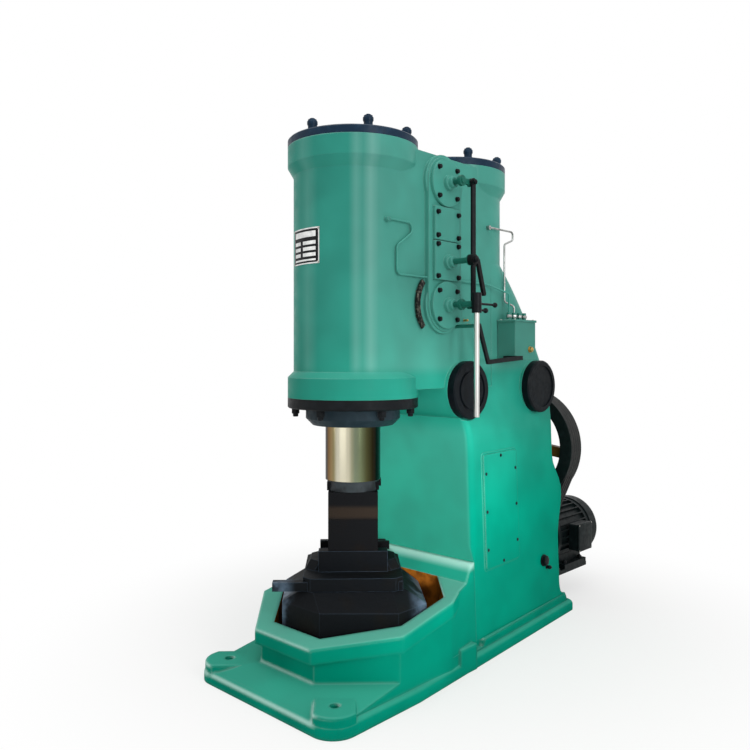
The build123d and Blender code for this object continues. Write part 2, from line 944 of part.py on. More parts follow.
def upper_die():
    """Upper die block with the dovetail that holds it in the ram."""
    low = die_joint_z + die_rest_gap
    height = upper_die_top_z - low
    die = Pos(0, 0, low) * diagonal * Box(die_width, die_width, height, align=LOW)
    return die + tongue(tongue_width, tongue_height, upper_die_top_z, 2 * neck_r)


def lower_die():
    """Lower die block with the dovetail that holds it in the anvil cap."""
    height = die_joint_z - cap_top_z
    die = Pos(0, 0, cap_top_z) * diagonal * Box(die_width, die_width, height, align=LOW)
    hang = mirror(tongue(tongue_width, tongue_height, 0, die_width), about=Plane.XY)
    return die + Pos(0, 0, cap_top_z) * hang


def anvil_block():
    """Anvil standing in the well, eight-sided, sloping in to the seat of the cap."""
    plan = both_sides([
        (anvil_front_half, -anvil_length_half),
        (anvil_half, -anvil_side_half),
        (anvil_half, anvil_side_half),
        (anvil_front_half, anvil_length_half),
    ])
    lower = extrude(flat(plan), amount=anvil_shoulder_z)
    seat = chamfered_plan(anvil_top_width, anvil_top_width, anvil_corner, anvil_top_z)
    shoulder = loft([Pos(0, 0, anvil_shoulder_z) * flat(plan), seat], ruled=True)
    return lower + shoulder


def wedge_bar(tail, gap):
    """Bar under the front edge of the anvil cap's plate, larger by a gap for its groove."""
    half = cap_plate_width / 2
    reach = wedge_width / 2 + gap
    low = (-half - tail, -wedge_offset - reach, anvil_top_z)
    high = (half, -wedge_offset + reach, anvil_top_z + wedge_height + gap)
    return diagonal * block(low, high)


def anvil_cap():
    """Cap on the anvil: a plate, a square head with the slot for the lower die, and a lower wing each side."""
    plate_top = anvil_top_z + cap_plate_height
    foot = chamfered_plan(cap_plate_width, cap_plate_width, cap_plate_corner, anvil_top_z)
    plate = extrude(foot, amount=cap_plate_height)
    half = cap_head_width / 2
    reach = cap_head_depth / 2
    head = diagonal * block((-half, -reach, plate_top), (half, reach, cap_top_z))
    wing_top_width = cap_wing_width - 2 * cap_wing_draft
    head += loft([
        chamfered_plan(cap_wing_width, cap_wing_depth, cap_wing_corner, plate_top),
        chamfered_plan(wing_top_width, cap_wing_depth, cap_wing_corner, cap_wing_z),
    ], ruled=True)
    slot = mirror(tongue_slot(0, 2 * cap_plate_width), about=Plane.XY)
    groove = wedge_bar(cap_plate_width, tongue_gap)
    return plate + head - groove - Pos(0, 0, cap_top_z) * slot


def cap_wedge():
    """Wedge driven under the anvil cap, with its tail standing out to the left front."""
    return wedge_bar(wedge_tail, 0)


def valve_cover(z):
    """Round cover of a valve with the stuffing box of its shaft."""
    cover = bar_x(valve_cover_r, chest_face_x, plate_x, valve_y, z)
    cover += bar_x(stuffing_r, plate_x, stuffing_x - gland_nut_length, valve_y, z)
    cover += bar_x(gland_nut_r, stuffing_x - gland_nut_length, stuffing_x, valve_y, z)
    return cover - bar_x(shaft_r + running_gap, chest_face_x - overrun, stuffing_x + overrun, valve_y, z)


def chest_plate(low, high):
    """Flat cover plate of the valve chest."""
    return block(
        (chest_face_x, valve_y - cover_plate_half, low),
        (plate_x, valve_y + cover_plate_half, high),
    )


def upper_chest_plate():
    """Plain plate under the upper valve cover."""
    high = upper_valve_z - valve_cover_r - cover_plate_gap
    return chest_plate(cover_plate_joint_z + cover_plate_gap / 2, high)


def middle_valve_cover():
    """Plate over the middle valve, with its stuffing box."""
    low = lower_valve_z + valve_cover_r + cover_plate_gap
    cover = chest_plate(low, cover_plate_joint_z - cover_plate_gap / 2)
    cover += bar_x(stuffing_r, plate_x, stuffing_x - gland_nut_length, valve_y, middle_valve_z)
    cover += bar_x(gland_nut_r, stuffing_x - gland_nut_length, stuffing_x, valve_y, middle_valve_z)
    hole = bar_x(shaft_r + running_gap, chest_face_x - overrun, stuffing_x + overrun, valve_y, middle_valve_z)
    return cover - hole


def strap_yz(start, end, radius, x, thickness):
    """Flat bar with round ends between two places in a plane across X."""
    (y0, z0), (y1, z1) = start, end
    middle = ((y0 + y1) / 2, (z0 + z1) / 2)
    slot = SlotCenterToCenter(hypot(y1 - y0, z1 - z0), 2 * radius)
    angle = degrees(atan2(z1 - z0, y1 - y0))
    face = Pos(*middle) * Rot(0, 0, angle) * slot
    return Pos(x, 0, 0) * extrude(Plane.YZ * face, amount=thickness)


def valve_arm(z, shaft_end):
    """Valve shaft with the arm and pin that the link works."""
    shaft = bar_x(shaft_r, chest_face_x - shaft_seat + running_gap, shaft_end, valve_y, z)
    hub = bar_x(arm_hub_r, arm_x, arm_x + arm_thickness, valve_y, z)
    arm = strap_yz((valve_y, z), (arm_pin_y, z), arm_width / 2, arm_x, arm_thickness)
    eye = bar_x(arm_eye_r, arm_x, arm_x + arm_thickness, arm_pin_y, z)
    pin = bar_x(pin_r, arm_x, link_x + link_thickness + link_gap / 2, arm_pin_y, z)
    return shaft + hub + arm + eye + pin


def upper_valve_arm():
    """Shaft and arm of the upper valve."""
    return valve_arm(upper_valve_z, arm_x + arm_thickness + link_gap)


def lower_valve_arm():
    """Shaft and arm of the lower valve, reaching out to the handle's socket."""
    return valve_arm(lower_valve_z, handle_x - socket_r)


def link_bar():
    """Upright link that turns the upper valve with the lower one."""
    ends = [(arm_pin_y, lower_valve_z), (arm_pin_y, upper_valve_z)]
    bar = strap_yz(ends[0], ends[1], link_width / 2, link_x, link_thickness)
    for y, z in ends:
        bar += bar_x(link_eye_r, link_x, link_x + link_thickness, y, z)
    bar -= bar_x(pin_r + running_gap, link_x - overrun, link_x + overrun, *ends[0])
    return bar - bar_x(pin_r + pin_play, link_x - overrun, link_x + overrun, *ends[1])


def middle_valve_lever():
    """Shaft and bent lever of the middle valve."""
    knee = (valve_y + lever_arm_reach, middle_valve_z)
    tip = (valve_y + lever_tip_out, middle_valve_z - lever_tip_drop)
    hub_end = lever_x + lever_hub_length
    shaft = bar_x(shaft_r, chest_face_x - shaft_seat + running_gap, hub_end, valve_y, middle_valve_z)
    hub = bar_x(lever_hub_r, lever_x, hub_end, valve_y, middle_valve_z)
    arm = strap_yz((valve_y, middle_valve_z), knee, lever_width / 2, lever_x, lever_thickness)
    return shaft + hub + arm + strap_yz(knee, tip, lever_width / 2, lever_x, lever_thickness)


def handle_socket():
    """Socket on the lower valve's shaft that holds the handle."""
    socket = post(socket_r, socket_low_z, socket_high_z, handle_x, valve_y)
    socket -= post(handle_r, socket_low_z - overrun, socket_low_z + handle_in_socket, handle_x, valve_y)
    shaft_room = bar_x(shaft_r, handle_x - 2 * socket_r, handle_x - socket_r, valve_y, lower_valve_z)
    return socket - shaft_room


def operating_handle():
    """Straight steel handle hanging from the socket."""
    return post(handle_r, lower_valve_z - handle_drop, socket_low_z + handle_in_socket, handle_x, valve_y)


def knob(reach, z):
    """Ball on a stem standing out from the socket towards the rear."""
    stem = bar_y(knob_stem_r, valve_y, valve_y + reach, handle_x, z)
    stem -= post(socket_r, socket_low_z, socket_high_z, handle_x, valve_y)
    return stem + Pos(handle_x, valve_y + reach, z) * Sphere(knob_r)


def handle_knobs():
    """Two ball knobs on the handle's socket."""
    return knob(rear_knob_reach, lower_valve_z) + knob(low_knob_reach, lower_valve_z - low_knob_drop)


def quadrant():
    """Curved stop plate beside the lower valve, on two feet."""
    place = Pos(quadrant_x, quadrant_centre_y, quadrant_centre_z)
    outer = quadrant_r + quadrant_width / 2
    inner = quadrant_r - quadrant_width / 2
    half = radians(quadrant_half_angle)
    ends = [(-r * cos(half), s * r * sin(half)) for r, s in ((outer, 1), (inner, 1), (inner, -1), (outer, -1))]
    edges = [
        ThreePointArc(ends[0], (-outer, 0), ends[3]),
        Line(ends[3], ends[2]),
        ThreePointArc(ends[2], (-inner, 0), ends[1]),
        Line(ends[1], ends[0]),
    ]
    plate = place * extrude(Plane.YZ * make_face(edges), amount=quadrant_thickness)
    for sign in (-1, 1):
        angle = radians(180 - sign * quadrant_half_angle / 2)
        y = quadrant_centre_y + quadrant_r * cos(angle)
        z = quadrant_centre_z + quadrant_r * sin(angle)
        plate += bar_x(quadrant_foot_r, working_r - overrun, quadrant_x, y, z)
    return plate - block_walls()


def lubricator():
    """Oil box on the right wall with its lid and pipe unions."""
    high = lubricator_z + lubricator_height
    end = lubricator_y + lubricator_length
    box = block((flare_half, lubricator_y, lubricator_z), (lubricator_x, end, high))
    lip = lubricator_lid_lip
    lid = block((flare_half, lubricator_y - lip, high - lubricator_lid), (lubricator_x + lip, end + lip, high))
    body = box + lid
    pitch = lubricator_length / union_count
    for step in range(union_count):
        y = lubricator_y + pitch * (step + 1 / 2)
        body += post(union_r, high, high + union_height, union_x, y)
    return body


def lubricator_link():
    """Bent bar from a stud beside the valve chest to the lubricator's lever."""
    stud = (link_stud_y, link_stud_z)
    knee = (valve_y + oil_link_knee_shift, throat_roof_z + oil_link_knee_rise)
    end = (lubricator_y - oil_link_width / 2, oil_link_end_z)
    radius = oil_link_width / 2
    bar = strap_yz(stud, knee, radius, oil_link_x, oil_link_thickness)
    bar += strap_yz(knee, end, radius, oil_link_x, oil_link_thickness)
    lever = block(
        (lubricator_x - oil_lever_depth, end[0] - radius, oil_link_end_z - radius),
        (oil_link_x + oil_link_thickness, lubricator_y, oil_link_end_z + radius),
    )
    pin = bar_x(link_stud_r, 0, oil_link_x + oil_link_thickness, *stud)
    return bar + lever + (pin - block_walls() - valve_chest())


def pipe(points, bend_r):
    """Oil pipe with round bends."""
    path = FilletPolyline(*points, radius=bend_r)
    section = Plane(origin=path @ 0, z_dir=path % 0) * Circle(pipe_r)
    return sweep(section, path=path)


def pipe_fitting(y, z):
    """Fitting that a pipe screws into, on the right wall of the cylinder block."""
    return bar_x(fitting_r, 0, pipe_x, y, z) - block_walls()


def front_oil_pipe():
    """Pipe from the working cylinder's wall, round a loop and down to the valve chest."""
    loop_z = front_fitting_z - front_loop_drop
    tube = pipe([
        (pipe_x, front_fitting_y, front_fitting_z),
        (pipe_x, front_loop_y, front_fitting_z),
        (pipe_x, front_loop_y, loop_z),
        (pipe_x, front_drop_y, loop_z - front_loop_lean),
        (pipe_x, front_drop_y, front_run_z),
        (pipe_x, valve_y - chest_half, front_run_z),
    ], front_bend_r)
    return tube + pipe_fitting(front_fitting_y, front_fitting_z)


def chest_oil_pipe():
    """Pipe from the valve chest to the first union of the lubricator."""
    union_y = lubricator_y + lubricator_length / union_count / 2
    return pipe([
        (pipe_x, valve_y + chest_half, front_run_z),
        (pipe_x, chest_knee_y, front_run_z),
        (union_x, union_y, front_run_z - chest_knee_drop),
        (union_x, union_y, lubricator_z + lubricator_height + union_height),
    ], pipe_bend_r)


def rear_oil_pipe():
    """Pipe from the compressor cylinder's wall, round a loop and down to the lubricator."""
    union_y = lubricator_y + lubricator_length / union_count * 3 / 2
    union_z = lubricator_z + lubricator_height + union_height
    loop_z = rear_fitting_z - rear_loop_drop
    tube = pipe([
        (pipe_x, rear_fitting_y, rear_fitting_z),
        (pipe_x, rear_loop_y, rear_fitting_z),
        (pipe_x, rear_loop_y, loop_z),
        (pipe_x, rear_drop_y, loop_z - rear_loop_lean),
        (pipe_x, rear_drop_y, union_z + rear_knee_rise),
        (union_x, union_y, union_z + rear_knee_rise - rear_knee_drop),
        (union_x, union_y, union_z),
    ], pipe_bend_r)
    return tube + pipe_fitting(rear_fitting_y, rear_fitting_z)


def side_cap(y, ringed):
    """Round cap on the frame's right side, ringed or dished."""
    cap = bar_x(cap_r, cap_seat_x, cap_seat_x + cap_thickness, y, cap_z)
    face = cap.faces().sort_by(Axis.X)[-1]
    cap = chamfer(face.edges(), cap_edge)
    outer_x = cap_seat_x + cap_thickness
    if ringed:
        ring = bar_x(cap_ring_r, outer_x - cap_ring_depth, outer_x + overrun, y, cap_z)
        ring -= bar_x(cap_ring_r - cap_ring_width, 0, outer_x + 2 * overrun, y, cap_z)
        return cap - ring
    return cap - bar_x(cap_dish_r, outer_x - cap_dish_depth, outer_x + overrun, y, cap_z)


def crankshaft():
    """End of the crankshaft that carries the flywheel."""
    return bar_y(crank_r, bearing_y - overrun + running_gap, wheel_mid_y + hub_length / 2 + crank_end, 0, crank_z)


def wheel_rim_section():
    """Half section of the rim with its belt grooves, as (radius, place along the axis)."""
    groove = belt_width + 2 * groove_side_gap
    floor_r = wheel_r - belt_thickness - belt_gap
    half = wheel_width / 2
    points = [(wheel_inner_r, -half), (wheel_r, -half)]
    for step in range(belt_count):
        middle = (step - (belt_count - 1) / 2) * belt_pitch
        points += [
            (wheel_r, middle - groove / 2),
            (floor_r, middle - groove / 2),
            (floor_r, middle + groove / 2),
            (wheel_r, middle + groove / 2),
        ]
    return points + [(wheel_r, half), (wheel_inner_r, half)]


def flywheel():
    """Spoked flywheel with belt grooves in its rim."""
    rim = turned(wheel_rim_section())
    hub = Cylinder(hub_r, hub_length) - Cylinder(crank_r, hub_length + overrun)
    spoke_length = wheel_inner_r + wheel_web - hub_r + wheel_web
    spoke = Pos(hub_r - wheel_web, 0, 0) * Box(
        spoke_length, spoke_width, spoke_thickness, align=(Align.MIN, Align.CENTER, Align.CENTER))
    wheel = rim + hub
    for step in range(spoke_count):
        wheel += Rot(0, 0, spoke_start_angle + step * 360 / spoke_count) * spoke
    return Pos(0, wheel_mid_y, crank_z) * Rot(-90, 0, 0) * wheel


def belt_face(wheel_radius, pulley_radius):
    """Outline of a belt loop round wheel and pulley at given radii, in the wheel's plane."""
    span = crank_z - motor_z
    lean = asin((wheel_radius - pulley_radius) / span)
    sides = both_sides([
        (pulley_radius * cos(lean), motor_z - pulley_radius * sin(lean)),
        (wheel_radius * cos(lean), crank_z - wheel_radius * sin(lean)),
    ])
    return Pos(0, crank_z) * Circle(wheel_radius) + Pos(0, motor_z) * Circle(pulley_radius) + flat(sides)


def drive_belts():
    """Belt loops side by side, each in its pair of grooves."""
    outer = belt_face(wheel_r, pulley_r)
    inner = belt_face(wheel_r - belt_thickness, pulley_r - belt_thickness)
    loop = extrude(Plane.XZ * (outer - inner), amount=belt_width / 2, both=True)
    first_y = wheel_mid_y - (belt_count - 1) / 2 * belt_pitch
    return Compound(children=[Pos(0, first_y + step * belt_pitch, 0) * loop for step in range(belt_count)])


def motor_pulley():
    """Grooved pulley on the motor shaft."""
    floor_r = pulley_r - belt_thickness
    pulley = bar_y(pulley_r, wheel_y, wheel_y + wheel_width, 0, motor_z)
    groove = belt_width + 2 * groove_side_gap
    for step in range(belt_count):
        y = wheel_mid_y + (step - (belt_count - 1) / 2) * belt_pitch
        ring = bar_y(pulley_r + overrun, y - groove / 2, y + groove / 2, 0, motor_z)
        pulley -= ring - bar_y(floor_r, y - groove, y + groove, 0, motor_z)
    return pulley - bar_y(motor_shaft_r, wheel_y - overrun, wheel_y + wheel_width + overrun, 0, motor_z)


def motor_body():
    """Motor: finned barrel, end shields, feet and the shaft to the pulley."""
    end = motor_y + motor_length
    body = bar_y(motor_r, motor_y, end, 0, motor_z)
    shield_r = motor_r + fin_height
    body += bar_y(shield_r, motor_y - shield_length, motor_y, 0, motor_z)
    body += bar_y(shield_r, end, end + shield_length, 0, motor_z)
    fin = block((motor_r - fin_height, motor_y, -fin_thickness / 2), (shield_r, end, fin_thickness / 2))
    for step in range(fin_count):
        body += Pos(0, 0, motor_z) * Rot(0, step * 360 / fin_count, 0) * fin
    foot_start = motor_y + foot_margin
    foot_end = end - foot_margin
    foot = block(
        (motor_r - foot_web_thickness * 2, foot_start, motor_foot_z),
        (foot_half, foot_end, motor_foot_z + foot_thickness),
    )
    web = block(
        (motor_r - foot_web_thickness * 2, foot_start, motor_foot_z),
        (motor_r - foot_web_thickness, foot_end, motor_z),
    )
    side = foot + web
    body += side + mirror(side, about=Plane.YZ)
    return body + bar_y(motor_shaft_r, wheel_y, motor_y, 0, motor_z)


def motor_fan_cover():
    """Domed cover over the fan at the rear of the motor."""
    start = motor_y + motor_length + shield_length
    cover = bar_y(fan_cover_r, start, start + fan_cover_length, 0, motor_z)
    face = cover.faces().sort_by(Axis.Y)[-1]
    return fillet(face.edges(), fan_cover_round)


def motor_terminal_box():
    """Terminal box on the right side of the motor."""
    inner = motor_r + fin_height
    middle = motor_y + motor_length / 2
    box = block(
        (inner, middle - terminal_width / 2, motor_z - terminal_height / 2),
        (inner + terminal_depth, middle + terminal_width / 2, motor_z + terminal_height / 2),
    )
    return fillet(box.edges().filter_by(Axis.X), terminal_round)


def motor_bracket():
    """Shelf that carries the motor behind the column, hung from a back plate by two cheeks."""
    top = motor_foot_z
    low = top - bracket_thickness
    start = column_rear_y
    back_end = start + bracket_back_thickness
    outer = bracket_half + bracket_cheek_thickness
    shelf = block((-outer, bracket_shelf_y, low), (outer, bracket_end_y, top))
    back = block((-outer, start, skirt_z), (outer, back_end, bracket_back_top_z))
    cheek_line = [
        (start, skirt_z),
        (start, bracket_back_top_z),
        (back_end, bracket_back_top_z),
        (bracket_cheek_end_y, top),
        (bracket_cheek_end_y, low),
        (bracket_shelf_y, low),
    ]
    cheeks = across(cheek_line, outer) - across(cheek_line, bracket_half)
    return shelf + back + cheeks


PARTS = {
    "base_casting": base_casting,
    "frame_casting": frame_casting,
    "working_cylinder_cover": lambda: cylinder_cover(cover_r, 0),
    "compressor_cover": lambda: cylinder_cover(compressor_r + flange_width, cylinder_pitch),
    "gland_ring": gland_ring,
    "rod_gland": rod_gland,
    "ram_rod": ram_rod,
    "upper_die": upper_die,
    "upper_die_key": lambda: die_key(upper_die_top_z, 2 * neck_r, upper_key_stand_out),
    "lower_die": lower_die,
    "lower_die_key": lambda: die_key(cap_top_z - tongue_height + tongue_gap, die_width, lower_key_stand_out),
    "anvil_block": anvil_block,
    "anvil_cap": anvil_cap,
    "anvil_cap_wedge": cap_wedge,
    "upper_valve_cover": lambda: valve_cover(upper_valve_z),
    "lower_valve_cover": lambda: valve_cover(lower_valve_z),
    "upper_chest_plate": upper_chest_plate,
    "middle_valve_cover": middle_valve_cover,
    "upper_valve_arm": upper_valve_arm,
    "lower_valve_arm": lower_valve_arm,
    "valve_link_bar": link_bar,
    "middle_valve_lever": middle_valve_lever,
    "handle_socket": handle_socket,
    "operating_handle": operating_handle,
    "handle_knobs": handle_knobs,
    "quadrant": quadrant,
    "lubricator": lubricator,
    "lubricator_link": lubricator_link,
    "front_oil_pipe": front_oil_pipe,
    "chest_oil_pipe": chest_oil_pipe,
    "rear_oil_pipe": rear_oil_pipe,
    "right_front_cap": lambda: side_cap(front_cap_y, True),
    "right_rear_cap": lambda: side_cap(rear_cap_y, False),
    "left_front_cap": lambda: mirror(side_cap(front_cap_y, True), about=Plane.YZ),
    "left_rear_cap": lambda: mirror(side_cap(rear_cap_y, False), about=Plane.YZ),
    "right_access_panel": lambda: panel_plate(0, panel_pad_stand, panel_pad_stand + panel_thickness),
    "left_access_panel": lambda: mirror(
        panel_plate(0, panel_pad_stand, panel_pad_stand + panel_thickness), about=Plane.YZ),
    "crankshaft": crankshaft,
    "flywheel": flywheel,
    "motor_bracket": motor_bracket,
    "motor_body": motor_body,
    "motor_fan_cover": motor_fan_cover,
    "motor_terminal_box": motor_terminal_box,
    "motor_pulley": motor_pulley,
    "drive_belts": drive_belts,
}

os.makedirs("parts", exist_ok=True)
for name, make in PARTS.items():
    export_step(make(), f"parts/{name}.step")
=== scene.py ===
"""Looks of a pneumatic forging hammer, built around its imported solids."""
import logging
import math
from dataclasses import dataclass, field
from enum import Enum
from typing import Callable, Iterable, Sequence

import bpy
from mathutils import Matrix, Vector


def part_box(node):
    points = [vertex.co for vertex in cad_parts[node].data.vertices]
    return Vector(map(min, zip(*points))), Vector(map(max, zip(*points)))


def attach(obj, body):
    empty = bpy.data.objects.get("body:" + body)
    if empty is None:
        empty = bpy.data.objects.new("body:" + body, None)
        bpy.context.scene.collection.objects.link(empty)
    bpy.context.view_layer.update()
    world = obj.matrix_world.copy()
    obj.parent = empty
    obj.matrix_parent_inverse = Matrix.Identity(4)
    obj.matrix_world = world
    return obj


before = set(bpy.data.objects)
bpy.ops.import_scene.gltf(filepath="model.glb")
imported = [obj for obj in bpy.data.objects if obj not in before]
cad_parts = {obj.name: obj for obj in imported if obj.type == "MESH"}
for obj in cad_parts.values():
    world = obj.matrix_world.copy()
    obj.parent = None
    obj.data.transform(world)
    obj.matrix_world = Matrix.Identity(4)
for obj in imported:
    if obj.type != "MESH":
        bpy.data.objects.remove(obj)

Tree = bpy.types.NodeTree
Socket = bpy.types.NodeSocket
Piece = bpy.types.Object
Span = tuple[float, float]
Triple = tuple[float, float, float]
FaceTest = Callable[[Vector, Vector], bool]
Move = Callable[[], object]

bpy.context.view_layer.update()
LOG = logging.getLogger("hammer")
MM = 0.001
SMOOTH_ANGLE = math.radians(32.0)
MERGE_DISTANCE = 1e-6
PHOTO_WIDTH = 750.0
UP = (0.0, 0.0, 1.0)
RIGHT = (1.0, 0.0, 0.0)
REAR = (0.0, 1.0, 0.0)
FULL_TURN = 360.0
UPRIGHT = math.radians(90.0)
HEX_SIDES = 6
FACING_SHARE = 0.9
PLUS_X_SHARE = 0.5
SOFT_EDGE_SAMPLES = 6
EDGE_TURN = (0.99, 0.84)


class Body(Enum):
    """Bodies of the record that the added pieces move with."""

    FRAME = "frame"
    CRANK = "crank"
    LOWER_VALVE = "lower_valve"
    UPPER_VALVE = "upper_valve"
    MIDDLE_VALVE = "middle_valve"


class Slot(Enum):
    """Material slots of the record."""

    NAVY = "navy_paint"
    BLACK = "black_paint"
    BRIGHT = "bright_steel"


class Grain(Enum):
    """Finer octaves on top of a noise pattern."""

    SMOOTH = 2.0
    SOFT = 3.0
    EVEN = 4.0
    FINE = 5.0
    CRUMBLED = 6.0


# Colours and nodes


def linear(code: str) -> tuple[float, float, float, float]:
    """Turns an sRGB hex colour into linear light.

    Args:
        code: Colour as "#rrggbb".

    Returns:
        Linear red, green, blue and an alpha of one.
    """
    parts = [int(code[i:i + 2], 16) / 255.0 for i in (1, 3, 5)]
    light = [p / 12.92 if p <= 0.04045 else ((p + 0.055) / 1.055) ** 2.4 for p in parts]
    return (light[0], light[1], light[2], 1.0)


def add_node(tree: Tree, kind: str, inputs: dict | None = None,
             **settings: object) -> bpy.types.Node:
    """Adds a shader node with its settings, constants and links.

    Args:
        tree: Node tree that gets the node.
        kind: Blender's type name of the node, without its leading "ShaderNode".
        inputs: Input name or number to a constant, or to the socket it is linked from.
        **settings: Attributes of the node.

    Returns:
        The new node.
    """
    node = tree.nodes.new("ShaderNode" + kind)
    for key, value in settings.items():
        setattr(node, key, value)
    for key, value in (inputs or {}).items():
        if isinstance(value, Socket):
            tree.links.new(value, node.inputs[key])
        else:
            node.inputs[key].default_value = value
    return node


def per_metre(size_mm: float) -> float:
    """Texture scale at which one cell of a pattern has the given size in millimetres."""
    return 1.0 / (size_mm * MM)


@dataclass(frozen=True)
class Finish:
    """A surface finish that becomes one procedural material."""

    name: str

    def sockets(self, tree: Tree) -> dict[str, object]:
        """Inputs of the shader, which each finish gives."""
        raise NotImplementedError

    def material(self) -> bpy.types.Material:
        """Builds the material.

        Returns:
            A material with one shader, fed by the finish's sockets.
        """
        material = bpy.data.materials.new(self.name)
        material.use_nodes = True
        tree = material.node_tree
        tree.nodes.clear()
        shader = add_node(tree, "BsdfPrincipled", self.sockets(tree))
        add_node(tree, "OutputMaterial", {"Surface": shader.outputs[0]})
        return material

    def clouds(self, tree: Tree, size_mm: float, grain: Grain, span: Span, out: Span) -> Socket:
        """Cloudy pattern in the machine's own frame.

        Args:
            tree: Node tree of the material.
            size_mm: Size of one cloud in millimetres.
            grain: Finer octaves on top.
            span: Noise values where the clouds start and where they are full.
            out: Values given there.

        Returns:
            Socket with the value.
        """
        place = add_node(tree, "TexCoord").outputs["Object"]
        noise = add_node(tree, "TexNoise", {
            "Vector": place, "Scale": per_metre(size_mm), "Detail": grain.value})
        step = add_node(tree, "MapRange", {
            "Value": noise.outputs["Fac"], "From Min": span[0], "From Max": span[1],
            "To Min": out[0], "To Max": out[1]}, interpolation_type="SMOOTHSTEP")
        return step.outputs["Result"]

    def by_height(self, tree: Tree, span: Span, out: Span) -> Socket:
        """Value that changes with the height above the floor.

        Args:
            tree: Node tree of the material.
            span: Heights in metres where the change starts and ends.
            out: Values given there.

        Returns:
            Socket with the value.
        """
        place = add_node(tree, "TexCoord").outputs["Object"]
        split = add_node(tree, "SeparateXYZ", {0: place})
        step = add_node(tree, "MapRange", {
            "Value": split.outputs["Z"], "From Min": span[0], "From Max": span[1],
            "To Min": out[0], "To Max": out[1]}, interpolation_type="SMOOTHSTEP")
        return step.outputs["Result"]

    def by_facing(self, tree: Tree, way: Triple, span: Span, out: Span,
                  edge_mm: float = 0.0) -> Socket:
        """Value that changes with the way the surface faces.

        Args:
            tree: Node tree of the material.
            way: Direction that counts as one.
            span: Shares of that direction where the change starts and ends.
            out: Values given there.
            edge_mm: Radius by which edges are softened first, in millimetres.

        Returns:
            Socket with the value.
        """
        if edge_mm:
            soft = add_node(tree, "Bevel", {"Radius": edge_mm * MM}, samples=SOFT_EDGE_SAMPLES)
            face = soft.outputs[0]
        else:
            face = add_node(tree, "NewGeometry").outputs["Normal"]
        share = add_node(tree, "VectorMath", {0: face, 1: way}, operation="DOT_PRODUCT")
        step = add_node(tree, "MapRange", {
            "Value": share.outputs["Value"], "From Min": span[0], "From Max": span[1],
            "To Min": out[0], "To Max": out[1]}, interpolation_type="SMOOTHSTEP")
        return step.outputs["Result"]

    def along_edges(self, tree: Tree, edge_mm: float, share: float) -> Socket:
        """Share that is full where a softened edge turns and zero on flats.

        Args:
            tree: Node tree of the material.
            edge_mm: Radius of the soft edge in millimetres.
            share: The full share.

        Returns:
            Socket with the share.
        """
        soft = add_node(tree, "Bevel", {"Radius": edge_mm * MM}, samples=SOFT_EDGE_SAMPLES)
        face = add_node(tree, "NewGeometry").outputs["Normal"]
        turn = add_node(tree, "VectorMath", {0: soft.outputs[0], 1: face}, operation="DOT_PRODUCT")
        step = add_node(tree, "MapRange", {
            "Value": turn.outputs["Value"], "From Min": EDGE_TURN[0], "From Max": EDGE_TURN[1],
            "To Min": 0.0, "To Max": share}, interpolation_type="SMOOTHSTEP")
        return step.outputs["Result"]

    def about_z(self, tree: Tree, vector: Socket,
                stops: Sequence[tuple[float, Sequence[float]]]) -> Socket:
        """Colour that changes with an angle about the upright axis.

        Args:
            tree: Node tree of the material.
            vector: Position or normal whose angle counts.
            stops: Share of a full turn, with a half on the +X side, and the colour there.

        Returns:
            The colour.
        """
        turn = add_node(tree, "TexGradient", {"Vector": vector}, gradient_type="RADIAL")
        ramp = add_node(tree, "ValToRGB", {"Fac": turn.outputs["Fac"]})
        steps = ramp.color_ramp.elements
        for step, (share, colour) in zip(steps, (stops[0], stops[-1])):
            step.position, step.color = share, colour
        for share, colour in stops[1:-1]:
            steps.new(share).color = colour
        return ramp.outputs["Color"]

    def skin(self, tree: Tree, size_mm: float, grain: Grain, depth_mm: float,
             edge_mm: float) -> Socket:
        """Surface normal with soft edges and a fine unevenness.

        Args:
            tree: Node tree of the material.
            size_mm: Size of one bump in millimetres.
            grain: Finer octaves on top.
            depth_mm: Depth of the bumps in millimetres.
            edge_mm: Radius of the soft edges in millimetres.

        Returns:
            Normal socket.
        """
        place = add_node(tree, "TexCoord").outputs["Object"]
        noise = add_node(tree, "TexNoise", {
            "Vector": place, "Scale": per_metre(size_mm), "Detail": grain.value})
        soft = add_node(tree, "Bevel", {"Radius": edge_mm * MM}, samples=SOFT_EDGE_SAMPLES)
        bump = add_node(tree, "Bump", {
            "Height": noise.outputs["Fac"], "Distance": depth_mm * MM, "Strength": 1.0,
            "Normal": soft.outputs[0]})
        return bump.outputs[0]

    def layered(self, tree: Tree, ground: object,
                coats: Iterable[tuple[Socket, object]]) -> Socket:
        """Lays coats of colour over a ground.

        Args:
            tree: Node tree of the material.
            ground: Colour constant or socket at the bottom.
            coats: Share and colour of each coat, in order.

        Returns:
            The colour on top.
        """
        # A Mix node's colours are its inputs 6 and 7, and the mixed colour is its output 2.
        for share, coat in coats:
            mixed = add_node(tree, "Mix", {"Factor": share, 6: ground, 7: coat}, data_type="RGBA")
            ground = mixed.outputs[2]
        return ground

    def overlap(self, tree: Tree, first: Socket, *others: Socket) -> Socket:
        """Share that is left where several shares hold at once.

        Args:
            tree: Node tree of the material.
            first: One share.
            *others: Shares it is multiplied by.

        Returns:
            Their product.
        """
        for other in others:
            first = add_node(tree, "Math", {0: first, 1: other}, operation="MULTIPLY").outputs[0]
        return first


